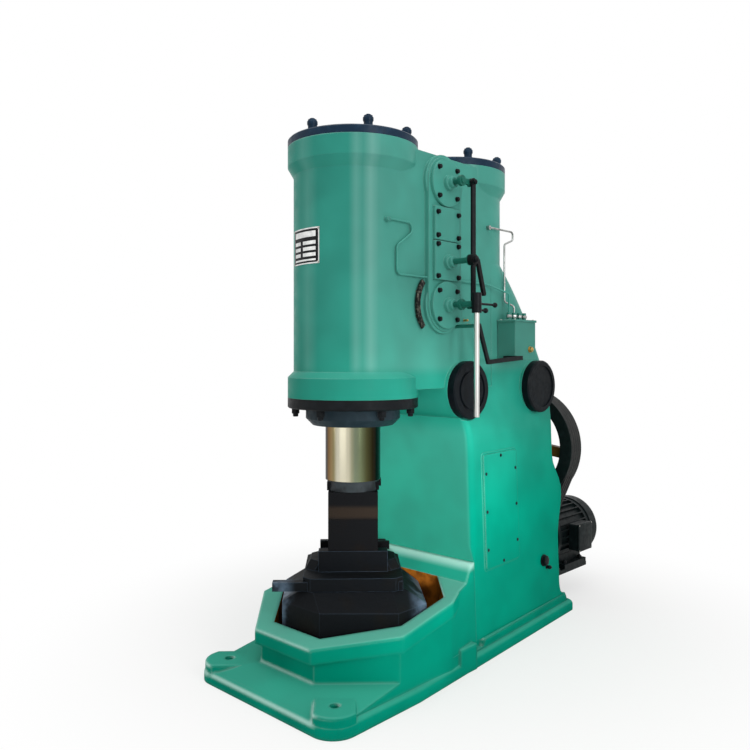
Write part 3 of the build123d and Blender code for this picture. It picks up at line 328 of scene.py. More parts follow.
@dataclass(frozen=True)
class EnamelPaint(Finish):
    """Gloss enamel sprayed on castings.

    It shows as a clear coat over a flat colour with faint orange peel. Light is painted into the colour:
    paler and greyer towards the top, a painted sky sheen on level faces and painted highlights where an
    edge or a round wall looks to a window.
    """

    # The paint runs from the low to the high colour up the machine: a painted gradient of light, paler and
    # greyer towards the top.
    low: str = "#00856e"
    high: str = "#308b7c"
    # The edge colour is painted highlight along edges, brightest where they face the window.
    edge: str = "#c4ebe0"
    edge_share: float = 0.35
    edge_mm: float = 9.0
    window: Triple = (-0.35, -0.79, 0.50)
    window_span: Span = (0.35, 0.85)
    window_share: Span = (0.12, 1.0)
    # Level faces turn paler: a painted sheen of sky light.
    dust_and_sheen: str = "#5cc2ac"
    dust_and_sheen_share: float = 0.24
    dust_and_sheen_span: Span = (0.35, 0.95)
    rise_z: Span = (0.6, 1.9)
    cloud_mm: float = 300.0
    cloud: float = 0.12
    cloud_span: Span = (0.3, 0.7)
    rough: Span = (0.33, 0.50)
    scuff_mm: float = 60.0
    scuff_span: Span = (0.3, 0.75)
    shine: Span = (0.0, 0.06)
    coat: float = 0.04
    coat_rough: float = 0.16
    # Real orange peel is 1 to 3 mm wide. It is drawn coarser, because finer bumps would not show.
    peel_mm: float = 9.0
    peel_depth_mm: float = 0.10
    # The sheen colour is painted highlight: upright bands on the cylinders and a paler front face below
    # them.
    sheen: str = "#b5dcd6"
    sheen_z: Span = (1.40, 1.46)
    front_sheen_z: Span = (1.10, 1.20)
    front_sheen_span: Span = (-0.85, -0.98)
    front_sheen_share: float = 0.05
    bands: tuple[Span, ...] = (
        (-102.0, 0.0),
        (-92.0, 0.10),
        (-79.0, 0.0),
        (-49.0, 0.0),
        (-42.6, 0.15),
        (-36.5, 0.06),
        (-29.0, 0.20),
        (-21.0, 0.08),
        (15.0, 0.08),
        (36.0, 0.0),
    )

    def sheen_bands(self, tree: Tree) -> Socket:
        """Upright bands of window light on the round walls of the cylinders.

        Args:
            tree: Node tree of the material.

        Returns:
            Share of the sheen, zero below the cylinders.
        """
        stops = [(angle / FULL_TURN + PLUS_X_SHARE, (share, share, share, 1.0))
                 for angle, share in self.bands]
        face = add_node(tree, "NewGeometry").outputs["Normal"]
        above = self.by_height(tree, self.sheen_z, (0.0, 1.0))
        return self.overlap(tree, self.about_z(tree, face, stops), above)

    def colour(self, tree: Tree) -> Socket:
        """Paint colour with clouds, painted sheen bands and painted highlights on front faces, level faces
        and edges.

        Args:
            tree: Node tree of the material.

        Returns:
            The colour.
        """
        # Painted light: the colour turns paler and greyer towards the top.
        rise = self.by_height(tree, self.rise_z, (0.0, 1.0))
        tone = self.layered(tree, linear(self.low), [(rise, linear(self.high))])
        light = (1.0 - self.cloud, 1.0 + self.cloud)
        cloud = self.clouds(tree, self.cloud_mm, Grain.SMOOTH, self.cloud_span, light)
        shaded = add_node(tree, "HueSaturation", {"Value": cloud, "Color": tone})
        # Painted highlight on faces that look to the front, below the cylinders.
        front_sheen = self.overlap(tree, self.by_facing(tree, REAR, self.front_sheen_span, (0.0, self.front_sheen_share)),
                            self.by_height(tree, self.front_sheen_z, (1.0, 0.0)))
        # Painted sheen of sky light on level faces.
        level = self.by_facing(tree, UP, self.dust_and_sheen_span, (0.0, self.dust_and_sheen_share))
        # Painted highlights on edges, brightest where they face the window.
        lit = self.by_facing(tree, self.window, self.window_span, self.window_share, self.edge_mm)
        rim = self.overlap(tree, self.along_edges(tree, self.edge_mm, self.edge_share), lit)
        return self.layered(tree, shaded.outputs[0], [
            (self.sheen_bands(tree), linear(self.sheen)),
            (front_sheen, linear(self.sheen)),
            (level, linear(self.dust_and_sheen)),
            (rim, linear(self.edge)),
        ])

    def sockets(self, tree: Tree) -> dict[str, object]:
        """Inputs of the shader: a rough coat that shines a little more towards the top.

        Args:
            tree: Node tree of the material.

        Returns:
            Input name to constant or socket.
        """
        return {
            "Base Color": self.colour(tree),
            "Roughness": self.clouds(tree, self.scuff_mm, Grain.EVEN, self.scuff_span, self.rough),
            "Normal": self.skin(tree, self.peel_mm, Grain.SMOOTH, self.peel_depth_mm, self.edge_mm),
            "Specular IOR Level": self.by_height(tree, self.rise_z, self.shine),
            "Coat Weight": self.coat,
            "Coat Roughness": self.coat_rough,
        }


@dataclass(frozen=True)
class WellPaint(EnamelPaint):
    """Green enamel on the base, whose well is left in brown primer, gone to rust in blotches."""

    primer: str = "#a86420"
    primer_dark: str = "#6a3c14"
    blotch_mm: float = 70.0
    blotch_span: Span = (0.38, 0.66)
    # The cove, glint and rim settings paint highlights in the edge colour.
    cove_z: Span = (0.446, 0.486)
    cove_share: float = 0.55
    glint_z: Span = (0.395, 0.405)
    glint_span: Span = (0.84, 0.95)
    glint_share: float = 0.70
    rim_z: Span = (0.23, 0.25)
    rim_span: Span = (0.90, 0.97)
    rim_share: float = 0.12
    wall_gap_mm: float = 1.5
    upright_below: float = 0.5
    planes: tuple[Triple, ...] = ()

    def inside(self, tree: Tree) -> Socket:
        """Finds the well's inner walls between the planes that bound it.

        Args:
            tree: Node tree of the material.

        Returns:
            One on the inner walls, zero elsewhere.
        """
        split = add_node(tree, "SeparateXYZ", {0: add_node(tree, "TexCoord").outputs["Object"]})
        width = add_node(tree, "Math", {0: split.outputs["X"]}, operation="ABSOLUTE").outputs[0]
        furthest: object = -1.0
        for along_x, along_y, reach in self.planes:
            part = add_node(tree, "Math", {0: width, 1: along_x, 2: -reach},
                            operation="MULTIPLY_ADD")
            whole = add_node(tree, "Math", {0: split.outputs["Y"], 1: along_y, 2: part.outputs[0]},
                             operation="MULTIPLY_ADD")
            most = add_node(tree, "Math", {0: whole.outputs[0], 1: furthest}, operation="MAXIMUM")
            furthest = most.outputs[0]
        near = add_node(tree, "Math", {0: furthest, 1: self.wall_gap_mm * MM},
                        operation="LESS_THAN")
        facing = add_node(tree, "SeparateXYZ", {0: add_node(tree, "NewGeometry").outputs["Normal"]})
        upright = add_node(tree, "Math", {0: facing.outputs["Z"], 1: self.upright_below},
                           operation="LESS_THAN")
        return self.overlap(tree, near.outputs[0], upright.outputs[0])

    def colour(self, tree: Tree) -> Socket:
        """Green outside, with painted highlights along the cove, on the glinting edges and on the rim,
        brown inside the well.

        Args:
            tree: Node tree of the material.

        Returns:
            The colour.
        """
        blotch = self.clouds(tree, self.blotch_mm, Grain.FINE, self.blotch_span, (0.0, 1.0))
        brown = self.layered(tree, linear(self.primer), [(blotch, linear(self.primer_dark))])
        # Painted highlights: along the cove under the column, on low edges that face the window and on
        # level faces higher up.
        glint = self.overlap(
            tree, self.by_height(tree, self.glint_z, (1.0, 0.0)),
            self.by_facing(tree, self.window, self.glint_span, (0.0, self.glint_share), self.edge_mm))
        rim = self.overlap(tree, self.by_facing(tree, UP, self.rim_span, (0.0, self.rim_share)),
                           self.by_height(tree, self.rim_z, (0.0, 1.0)))
        return self.layered(tree, super().colour(tree), [
            (self.by_height(tree, self.cove_z, (0.0, self.cove_share)), linear(self.edge)),
            (glint, linear(self.edge)),
            (rim, linear(self.edge)),
            (self.inside(tree), brown),
        ])


@dataclass(frozen=True)
class DarkEnamel(Finish):
    """Brushed dark enamel on small parts: a satin gloss with dust in soft clouds."""

    tone: str = "#11283c"
    dust_and_sheen: str = "#234058"
    cloud_mm: float = 45.0
    cloud_span: Span = (0.45, 0.78)
    dust_and_sheen_share: float = 0.6
    rough: float = 0.36
    rough_spread: Span = (-0.06, 0.14)
    scuff_mm: float = 22.0
    scuff_span: Span = (0.3, 0.7)
    # Real brush marks are 1 to 2 mm apart. They are drawn coarser, because finer ones would not show.
    brush_mm: float = 5.0
    brush_depth_mm: float = 0.08
    shine: float = 0.12
    coat: float = 0.02
    coat_rough: float = 0.15
    edge_mm: float = 2.5

    def colour(self, tree: Tree) -> Socket:
        """Paint colour with dust in soft clouds.

        Args:
            tree: Node tree of the material.

        Returns:
            The colour.
        """
        dusty = (0.0, self.dust_and_sheen_share)
        cloud = self.clouds(tree, self.cloud_mm, Grain.FINE, self.cloud_span, dusty)
        return self.layered(tree, linear(self.tone), [(cloud, linear(self.dust_and_sheen))])

    def sockets(self, tree: Tree) -> dict[str, object]:
        """Inputs of the shader: satin, with scuffs in the gloss.

        Args:
            tree: Node tree of the material.

        Returns:
            Input name to constant or socket.
        """
        low, high = (self.rough + change for change in self.rough_spread)
        return {
            "Base Color": self.colour(tree),
            "Roughness": self.clouds(tree, self.scuff_mm, Grain.EVEN, self.scuff_span, (low, high)),
            "Normal": self.skin(tree, self.brush_mm, Grain.SMOOTH, self.brush_depth_mm, self.edge_mm),
            "Coat Weight": self.coat,
            "Coat Roughness": self.coat_rough,
            "Specular IOR Level": self.shine,
        }


@dataclass(frozen=True)
class TwoToneEnamel(DarkEnamel):
    """Dark enamel on a part whose middle has another coat: a green hub or brown primed spokes."""

    spot: str = "#1f6657"
    centre: Triple = (0.0, 0.0, 0.0)
    axes: Triple = (1.0, 1.0, 1.0)
    reach: float = 0.1
    blur_mm: float = 2.0

    def colour(self, tree: Tree) -> Socket:
        """Dark outside the reach of the centre, the second coat inside.

        Args:
            tree: Node tree of the material.

        Returns:
            The colour.
        """
        place = add_node(tree, "TexCoord").outputs["Object"]
        flat = add_node(tree, "VectorMath", {0: place, 1: self.axes}, operation="MULTIPLY")
        middle = tuple(c * a for c, a in zip(self.centre, self.axes))
        away = add_node(tree, "VectorMath", {0: flat.outputs[0], 1: middle}, operation="DISTANCE")
        blur = self.blur_mm * MM
        near = add_node(tree, "MapRange", {
            "Value": away.outputs["Value"], "From Min": self.reach - blur,
            "From Max": self.reach + blur, "To Min": 1.0, "To Max": 0.0},
            interpolation_type="SMOOTHSTEP")
        spot = (near.outputs["Result"], linear(self.spot))
        return self.layered(tree, super().colour(tree), [spot])


@dataclass(frozen=True)
class ForgedIron(Finish):
    """Rough cast or forged iron.

    It shows as near-black scale with blue-grey bare patches kept to two flanks, where they are also a
    painted sheen, worn edges that are also painted highlights, and a lumpy skin. Real foundry pits are a
    few millimetres wide.
    They are drawn coarser, because finer ones would not show.
    """

    scale: str = "#0b0e11"
    bare: str = "#5c6f82"
    rust: str = "#12100d"
    patch_mm: float = 110.0
    patch_from: float = 0.40
    patch_width: float = 0.2
    flanks: Triple = (0.728, 0.685, 0.0)
    flank_from: float = 0.25
    flank_width: float = 0.08
    rust_times: float = 1.7
    rust_span: Span = (0.5, 0.72)
    rust_share: float = 0.7
    pit_mm: float = 34.0
    pit_depth_mm: float = 3.0
    worn_and_highlight_share: float = 0.30
    rough: float = 0.5
    rough_change: float = 0.12
    bare_metal: float = 0.45
    shine: float = 0.08
    edge_mm: float = 5.0

    def bare_and_sheen_patch(self, tree: Tree) -> Socket:
        """Patches where the scale is knocked off, most of them on two opposite flanks, where they also
        paint a sheen of light.

        Args:
            tree: Node tree of the material.

        Returns:
            One where the iron is bare.
        """
        # Painted sheen: the bare patches are kept to the two flanks.
        span = (self.patch_from, self.patch_from + self.patch_width)
        cloud = self.clouds(tree, self.patch_mm, Grain.CRUMBLED, span, (0.0, 1.0))
        place = add_node(tree, "TexCoord").outputs["Object"]
        across = add_node(tree, "VectorMath", {0: place, 1: self.flanks}, operation="DOT_PRODUCT")
        away = add_node(tree, "Math", {0: across.outputs["Value"]}, operation="ABSOLUTE")
        side = add_node(tree, "MapRange", {
            "Value": away.outputs[0], "From Min": self.flank_from,
            "From Max": self.flank_from + self.flank_width}, interpolation_type="SMOOTHSTEP")
        return self.overlap(tree, cloud, side.outputs["Result"])

    def colour(self, tree: Tree, patch: Socket) -> Socket:
        """Scale, bare patches that are also a painted sheen, old rust, and worn edges that are also
        painted highlights.

        Args:
            tree: Node tree of the material.
            patch: One where the iron is bare.

        Returns:
            The colour.
        """
        rust_mm = self.patch_mm * self.rust_times
        rusty = self.clouds(tree, rust_mm, Grain.FINE, self.rust_span, (0.0, self.rust_share))
        return self.layered(tree, linear(self.scale), [
            (patch, linear(self.bare)),
            (rusty, linear(self.rust)),
            # Worn edges, which are also painted highlights.
            (self.along_edges(tree, self.edge_mm, self.worn_and_highlight_share), linear(self.bare)),
        ])

    def sockets(self, tree: Tree) -> dict[str, object]:
        """Inputs of the shader: dull scale, brighter where the iron is bare.

        Args:
            tree: Node tree of the material.

        Returns:
            Input name to constant or socket.
        """
        patch = self.bare_and_sheen_patch(tree)
        rough = add_node(tree, "MapRange", {
            "Value": patch, "To Min": self.rough + self.rough_change,
            "To Max": self.rough - self.rough_change}, interpolation_type="SMOOTHSTEP")
        metal = add_node(tree, "MapRange", {"Value": patch, "To Max": self.bare_metal},
                         interpolation_type="SMOOTHSTEP")
        return {
            "Base Color": self.colour(tree, patch),
            "Specular IOR Level": self.shine,
            "Roughness": rough.outputs["Result"],
            "Metallic": metal.outputs["Result"],
            "Normal": self.skin(tree, self.pit_mm, Grain.CRUMBLED, self.pit_depth_mm, self.edge_mm),
        }


@dataclass(frozen=True)
class DieSteel(ForgedIron):
    """Forged die steel: oily black, with a brown heat tint in a band above the working face."""

    tint: str = "#2a221b"
    tint_share: float = 0.75
    tint_low: Span = (0.732, 0.756)
    tint_high: Span = (0.785, 0.809)

    def colour(self, tree: Tree, patch: Socket) -> Socket:
        """Black steel with the heat tint across it.

        Args:
            tree: Node tree of the material.
            patch: One where the steel is bare.

        Returns:
            The colour.
        """
        band = self.overlap(tree, self.by_height(tree, self.tint_low, (0.0, self.tint_share)),
                            self.by_height(tree, self.tint_high, (1.0, 0.0)))
        return self.layered(tree, super().colour(tree, patch), [(band, linear(self.tint))])


@dataclass(frozen=True)
class TurnedSteel(Finish):
    """Bright turned or drawn metal: a mirror made soft by tool marks, with a light smear of oil."""

    tone: str = "#c9c8c4"
    smear: str = "#a9a59b"
    smear_mm: float = 35.0
    smear_span: Span = (0.35, 0.7)
    rough: float = 0.24
    rough_spread: Span = (-0.05, 0.09)
    # Tool marks are far finer than a pixel. A roughness stands for them, in patches of this size.
    rough_mm: float = 14.0
    rough_span: Span = (0.3, 0.7)

    def sockets(self, tree: Tree) -> dict[str, object]:
        """Inputs of the shader: a metal with smears in colour and gloss.

        Args:
            tree: Node tree of the material.

        Returns:
            Input name to constant or socket.
        """
        cloud = self.clouds(tree, self.smear_mm, Grain.EVEN, self.smear_span, (0.0, 1.0))
        low, high = (self.rough + change for change in self.rough_spread)
        return {
            "Base Color": self.layered(tree, linear(self.tone), [(cloud, linear(self.smear))]),
            "Metallic": 1.0,
            "Roughness": self.clouds(tree, self.rough_mm, Grain.FINE, self.rough_span, (low, high)),
        }


@dataclass(frozen=True)
class RamSteel(Finish):
    """Ground and polished steel.

    It shows painted reflections as upright bands of cream, olive and brown, and dull grey at the neck.
    """

    neck: str = "#272f33"
    neck_dark: str = "#15191c"
    neck_z: float = 0.913
    neck_metal: float = 0.35
    neck_rough: float = 0.45
    worn_mm: float = 60.0
    worn_span: Span = (0.35, 0.7)
    rough: float = 0.20
    # Painted reflections: colour stops round the rod's axis.
    bands: tuple[tuple[float, str], ...] = (
        (0.120, "#2a2014"),
        (0.180, "#1c1008"),
        (0.205, "#96703f"),
        (0.235, "#b4986c"),
        (0.256, "#a89c72"),
        (0.280, "#f2ecd4"),
        (0.350, "#efe8cc"),
        (0.368, "#b6b596"),
        (0.385, "#8f9a80"),
        (0.420, "#76805f"),
        (0.455, "#5a5a3a"),
        (0.495, "#342f1a"),
        (0.530, "#16120a"),
        (0.640, "#14120d"),
        (0.720, "#8f8560"),
        (0.800, "#e9e2c6"),
        (0.900, "#6f6c50"),
        (0.990, "#2a2014"),
    )

    def sockets(self, tree: Tree) -> dict[str, object]:
        """Inputs of the shader: a polished metal whose neck is dull.

        Args:
            tree: Node tree of the material.

        Returns:
            Input name to constant or socket.
        """
        place = add_node(tree, "TexCoord").outputs["Object"]
        split = add_node(tree, "SeparateXYZ", {0: place})
        below = add_node(tree, "Math", {0: split.outputs["Z"], 1: self.neck_z + MM},
                         operation="LESS_THAN")
        end = below.outputs[0]
        # Painted reflections in upright bands round the axis.
        painted_reflection = self.about_z(tree, place, [(share, linear(code)) for share, code in self.bands])
        worn = self.clouds(tree, self.worn_mm, Grain.SOFT, self.worn_span, (0.0, 1.0))
        neck = self.layered(tree, linear(self.neck), [(worn, linear(self.neck_dark))])
        metal = add_node(tree, "MapRange", {"Value": end, "To Min": 1.0, "To Max": self.neck_metal})
        rough = add_node(tree, "MapRange", {
            "Value": end, "To Min": self.rough, "To Max": self.neck_rough})
        return {
            "Base Color": self.layered(tree, painted_reflection, [(end, neck)]),
            "Metallic": metal.outputs["Result"],
            "Roughness": rough.outputs["Result"],
        }


@dataclass(frozen=True)
class BeltRubber(Finish):
    """Cloth-wrapped belt rubber: matt black with a fine weave and pale dust."""

    tone: str = "#151515"
    dust_and_sheen: str = "#3a3835"
    dust_mm: float = 30.0
    dust_and_sheen_span: Span = (0.45, 0.8)
    dust_and_sheen_share: float = 0.5
    rough: float = 0.82
    # Real threads are about 1 mm wide. They are drawn coarser, to show from close by at least.
    weave_mm: float = 2.0
    weave_depth_mm: float = 0.2
    edge_mm: float = 1.0

    def sockets(self, tree: Tree) -> dict[str, object]:
        """Inputs of the shader: dull all over.

        Args:
            tree: Node tree of the material.

        Returns:
            Input name to constant or socket.
        """
        dust_and_sheen = self.clouds(tree, self.dust_mm, Grain.EVEN, self.dust_and_sheen_span, (0.0, self.dust_and_sheen_share))
        return {
            "Base Color": self.layered(tree, linear(self.tone), [(dust_and_sheen, linear(self.dust_and_sheen))]),
            "Roughness": self.rough,
            "Normal": self.skin(tree, self.weave_mm, Grain.SOFT, self.weave_depth_mm, self.edge_mm),
        }


# Sprayed enamels: an even gloss with painted highlights on the edges, painted shade that deepens the tone
# on the oil box, brown in the well.
GREEN = EnamelPaint("green_enamel_on_cast_iron")
# The darker paint of the oil box is painted shade.
BOX_GREEN_PAINTED_SHADE = EnamelPaint("box_enamel_with_painted_shade", low="#146e5e", high="#247668", dust_and_sheen_share=0.12)
WELL = WellPaint("green_enamel_with_primed_well", edge_mm=26.0, edge_share=0.30, dust_and_sheen_share=0.36,
                 front_sheen_share=0.0, planes=(
                     (1.0, 0.0, 0.395),
                     (0.0, -1.0, 0.358),
                     (0.0, 1.0, 0.364),
                     (0.7349, -0.6783, 0.3567),
                     (0.6964, 0.7176, 0.4186),
                 ))
# Brushed enamels: dark and satin, each with its own tint, and dusty where they are touched least.
NAVY = DarkEnamel("navy_enamel")
SLATE = DarkEnamel("slate_enamel", tone="#1c2930", dust_and_sheen="#2a3840", rough=0.42)
BLACK = DarkEnamel("black_enamel", tone="#0a0d10", dust_and_sheen="#161a1e", rough=0.42)
CAP = DarkEnamel("black_cap_enamel", tone="#080d11", dust_and_sheen="#12191e", rough=0.40, shine=0.08)
MOTOR = DarkEnamel("motor_enamel", tone="#0c1415", dust_and_sheen="#1b2627", rough=0.42)
ARM = DarkEnamel("dark_green_enamel", tone="#1c6153", dust_and_sheen="#2b7666", rough=0.40)
MARKED = DarkEnamel("worn_black_quadrant", tone="#101112", dust_and_sheen="#8d8a7c", cloud_mm=14.0, rough=0.45)
FIELD = DarkEnamel("black_plate_enamel", tone="#101214", dust_and_sheen="#1c1f22", rough=0.45)
# Two coats on one part: a dark outside round a middle of brown primer or green.
WHEEL = TwoToneEnamel("flywheel_enamel", tone="#0f1818", dust_and_sheen="#1b2627", rough=0.42, spot="#6b4a1e",
                      centre=(0.0, 0.0, 0.946), axes=(1.0, 0.0, 1.0), reach=0.271)
LEVER = TwoToneEnamel("lever_enamel", tone="#08090b", dust_and_sheen="#141719", rough=0.42,
                      centre=(0.395, 0.324, 1.953), reach=0.066)
OIL_LINK = TwoToneEnamel("oil_link_enamel", tone="#0a0d10", dust_and_sheen="#161a1e", rough=0.42,
                         centre=(0.34, 0.43, 1.64), reach=0.09)
# Bare black iron and steel: dull scale, with grey where it is knocked or worn, which also stands for
# painted sheen on the flanks and painted highlights on edges.
ANVIL = ForgedIron("black_cast_iron")
DIE = DieSteel("forged_die_steel", scale="#0b0c0e", bare="#141618", rust="#110e0c", patch_mm=60.0,
               patch_from=0.58, pit_mm=20.0, pit_depth_mm=0.6, rough=0.42, edge_mm=4.0)
# Machined metals: bright and softly mirrored, whitest on the handle and the plate, warm on brass.
BRIGHT = TurnedSteel("bright_turned_steel")
HANDLE = TurnedSteel("ground_handle_steel", tone="#d6d5d1", smear="#c6c4be", smear_mm=300.0, rough=0.36,
                     rough_mm=300.0)
PIPE = TurnedSteel("bare_steel_pipe", tone="#b4b6b4", smear="#8b8d8a", rough=0.30)
BRASS = TurnedSteel("turned_brass", tone="#c8a86a", smear="#a98a50", rough=0.30)
PLATE = TurnedSteel("etched_aluminium", tone="#dcdddb", smear="#c3c5c4", rough=0.38)
# Polished steel: a mirror with painted reflections in bands. Rubber: black and dull.
ROD = RamSteel("polished_ram_steel")
RUBBER = BeltRubber("belt_rubber")


class Palette:
    """Keeps one material per finish."""

    def __init__(self) -> None:
        """Starts with no material made."""
        self.made: dict[str, bpy.types.Material] = {}

    def get(self, finish: Finish) -> bpy.types.Material:
        """Material of a finish, made on first use.

        Args:
            finish: The finish wanted.

        Returns:
            Its material.
        """
        if finish.name not in self.made:
            self.made[finish.name] = finish.material()
        return self.made[finish.name]

    def dress(self, piece: Piece, finish: Finish) -> None:
        """Gives a piece one finish all over."""
        piece.data.materials.clear()
        piece.data.materials.append(self.get(finish))


PALETTE = Palette()


# Hand moves on meshes


def free_hand() -> None:
    """Leaves edit mode and deselects everything."""
    if bpy.context.object is not None and bpy.context.object.mode != "OBJECT":
        bpy.ops.object.mode_set(mode="OBJECT")
    bpy.ops.object.select_all(action="DESELECT")


def take(piece: Piece) -> None:
    """Selects one object alone and makes it active.

    Args:
        piece: Object to work on.
    """
    free_hand()
    piece.select_set(True)
    bpy.context.view_layer.objects.active = piece


def round_bar(radius: float, low: float, high: float, sides: int) -> Piece:
    """Upright bar on the Z axis.

    Args:
        radius: Radius to the corners, in metres.
        low: Lower end.
        high: Upper end.
        sides: Number of sides.

    Returns:
        The new object, with its place in its mesh.
    """
    free_hand()
    bpy.ops.mesh.primitive_cylinder_add(vertices=sides, radius=radius, depth=high - low,
                                        location=(0.0, 0.0, (low + high) / 2))
    bpy.ops.object.transform_apply(location=True, rotation=True, scale=True)
    return bpy.context.object


def slab(size: Sequence[float], middle: Sequence[float]) -> Piece:
    """Flat-sided block.

    Args:
        size: Lengths along X, Y and Z in metres.
        middle: Centre of the block.

    Returns:
        The new object, with its place in its mesh.
    """
    free_hand()
    bpy.ops.mesh.primitive_cube_add(size=1.0, location=middle)
    bpy.context.object.scale = size
    bpy.ops.object.transform_apply(location=True, rotation=True, scale=True)
    return bpy.context.object


def edit_faces(piece: Piece, wanted: FaceTest, moves: Iterable[Move]) -> None:
    """Runs edit-mode operators on chosen faces.

    Args:
        piece: Mesh object.
        wanted: Tells from a face's centre and normal whether it is chosen.
        moves: Operators to run in order.
    """
    take(piece)
    for part in (*piece.data.vertices, *piece.data.edges):
        part.select = False
    for face in piece.data.polygons:
        face.select = wanted(face.center, face.normal)
    bpy.ops.object.mode_set(mode="EDIT")
    bpy.ops.mesh.select_mode(type="FACE")
    for move in moves:
        move()
    bpy.ops.object.mode_set(mode="OBJECT")


def facing_up(_: Vector, normal: Vector) -> bool:
    """Chooses faces that look along +Z."""
    return normal.z > FACING_SHARE


def facing_right(_: Vector, normal: Vector) -> bool:
    """Chooses faces that look along +X."""
    return normal.x > FACING_SHARE


def every_face(_: Vector, __: Vector) -> bool:
    """Chooses all faces."""
    return True


def inset(width: float) -> Move:
    """An inset of the chosen faces."""
    return lambda: bpy.ops.mesh.inset(thickness=width)


def raise_by(height: float) -> Move:
    """An extrusion of the chosen faces along Z."""
    way = (0.0, 0.0, height)
    return lambda: bpy.ops.mesh.extrude_region_move(TRANSFORM_OT_translate={"value": way})


def swell(factor: float) -> Move:
    """A widening of the chosen faces across Z."""
    return lambda: bpy.ops.transform.resize(value=(factor, factor, 1.0))


def shift(way: Triple) -> Move:
    """A shift of the chosen faces."""
    return lambda: bpy.ops.transform.translate(value=way)


def soften(piece: Piece, width: float, segments: int = 2) -> Piece:
    """Bevels the sharp edges and shades the rest smooth.

    Args:
        piece: Mesh object.
        width: Width of the bevel in metres.
        segments: Steps of the bevel.

    Returns:
        The same object.
    """
    take(piece)
    bevel = piece.modifiers.new("edge", "BEVEL")
    bevel.width = width
    bevel.segments = segments
    bevel.limit_method = "ANGLE"
    bevel.angle_limit = SMOOTH_ANGLE
    bpy.ops.object.modifier_apply(modifier=bevel.name)
    bpy.ops.object.shade_smooth_by_angle(angle=SMOOTH_ANGLE)
    return piece


def joined(parts: Sequence[Piece]) -> Piece:
    """Joins objects into the first one.

    Args:
        parts: Objects to join.

    Returns:
        The first object, which now holds all the meshes.
    """
    free_hand()
    for part in parts:
        part.select_set(True)
    bpy.context.view_layer.objects.active = parts[0]
    if len(parts) > 1:
        bpy.ops.object.join()
    return bpy.context.object


def aimed(point: Sequence[float], direction: Sequence[float], spin_deg: float = 0.0) -> Matrix:
    """Place of a part modelled on +Z.

    Args:
        point: Where its foot goes, in metres.
        direction: Where its +Z points.
        spin_deg: Turn about its own axis.

    Returns:
        Matrix from the part's own frame to the machine's.
    """
    turn = Vector(UP).rotation_difference(Vector(direction)).to_matrix().to_4x4()
    return Matrix.Translation(point) @ turn @ Matrix.Rotation(math.radians(spin_deg), 4, "Z")


def spread_copies(pattern: Piece, places: Sequence[Matrix]) -> Piece:
    """Puts a copy of a part at each place and joins them.

    Args:
        pattern: The part as modelled, which is used up.
        places: Where the copies go.

    Returns:
        One object that holds every copy.
    """
    copies = []
    for place in places:
        copy = pattern.copy()
        copy.data = pattern.data.copy()
        copy.data.transform(place)
        bpy.context.scene.collection.objects.link(copy)
        copies.append(copy)
    bpy.data.objects.remove(pattern)
    return joined(copies)


def section(low_z: float, high_z: float, inner: float, outer: float) -> Piece:
    """Flat upright section beside the Z axis, from which a piece is spun.

    Args:
        low_z: Lower edge in metres.
        high_z: Upper edge.
        inner: Distance of its inner edge from the axis.
        outer: Distance of its outer edge.

    Returns:
        The new object, one face in the XZ plane.
    """
    free_hand()
    bpy.ops.mesh.primitive_plane_add(size=1.0)
    flat = bpy.context.object
    flat.scale = (outer - inner, high_z - low_z, 1.0)
    flat.rotation_euler = (UPRIGHT, 0.0, 0.0)
    flat.location = ((inner + outer) / 2, 0.0, (low_z + high_z) / 2)
    bpy.ops.object.transform_apply(location=True, rotation=True, scale=True)
    return flat


def spin_moves(steps: int, angle_deg: float) -> list[Move]:
    """Moves that spin the chosen section about the Z axis and close the result.

    Args:
        steps: Flat steps of the sweep.
        angle_deg: Angle of the sweep.

    Returns:
        The moves in order.
    """
    angle = math.radians(angle_deg)
    return [
        lambda: bpy.ops.mesh.spin(steps=steps, angle=angle, center=(0.0, 0.0, 0.0), axis=UP),
        lambda: bpy.ops.mesh.select_all(action="SELECT"),
        lambda: bpy.ops.mesh.remove_doubles(threshold=MERGE_DISTANCE),
        lambda: bpy.ops.mesh.normals_make_consistent(inside=False),
    ]


def bent_plate(levels: Span, angles: Span, radii: Span, steps: int) -> Piece:
    """Thin plate bent about the Z axis, swept from its end face.

    Args:
        levels: Lower and upper edge in metres.
        angles: Angles of its two ends in degrees.
        radii: Radius of its back and of its face.
        steps: Flat steps of the sweep.

    Returns:
        The new object.
    """
    plate = section(*levels, *radii)
    plate.data.transform(Matrix.Rotation(math.radians(angles[0]), 4, "Z"))
    # A positive spin runs clockwise, seen from above.
    edit_faces(plate, every_face, spin_moves(steps, angles[0] - angles[1]))
    take(plate)
    bpy.ops.object.shade_smooth_by_angle(angle=SMOOTH_ANGLE)
    return plate


def turned_ring(radii: Span, levels: Span, steps: int) -> Piece:
    """Flat ring about the Z axis, spun from the outline of its section.

    Args:
        radii: Inner and outer radius in metres.
        levels: Lower and upper face.
        steps: Flat steps of the turn.

    Returns:
        The new object.
    """
    ring = section(*levels, *radii)
    edit_faces(ring, every_face, [
        lambda: bpy.ops.mesh.delete(type="ONLY_FACE"),
        lambda: bpy.ops.mesh.select_mode(type="EDGE"),
        lambda: bpy.ops.mesh.select_all(action="SELECT"),
        *spin_moves(steps, FULL_TURN),
    ])
    return ring


def fit(piece: Piece, name: str, finish: Finish, body: Body) -> Piece:
    """Names a finished piece, dresses it and sets it on its body.

    Args:
        piece: The finished mesh object.
        name: Name of the piece.
        finish: Its finish.
        body: Body that it moves with.

    Returns:
        The same object.
    """
    piece.name = name
    piece.data.name = name
    PALETTE.dress(piece, finish)
    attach(piece, body.value)
    LOG.info("%s: %d faces on %s", name, len(piece.data.polygons), body.value)
    return piece


# Fasteners


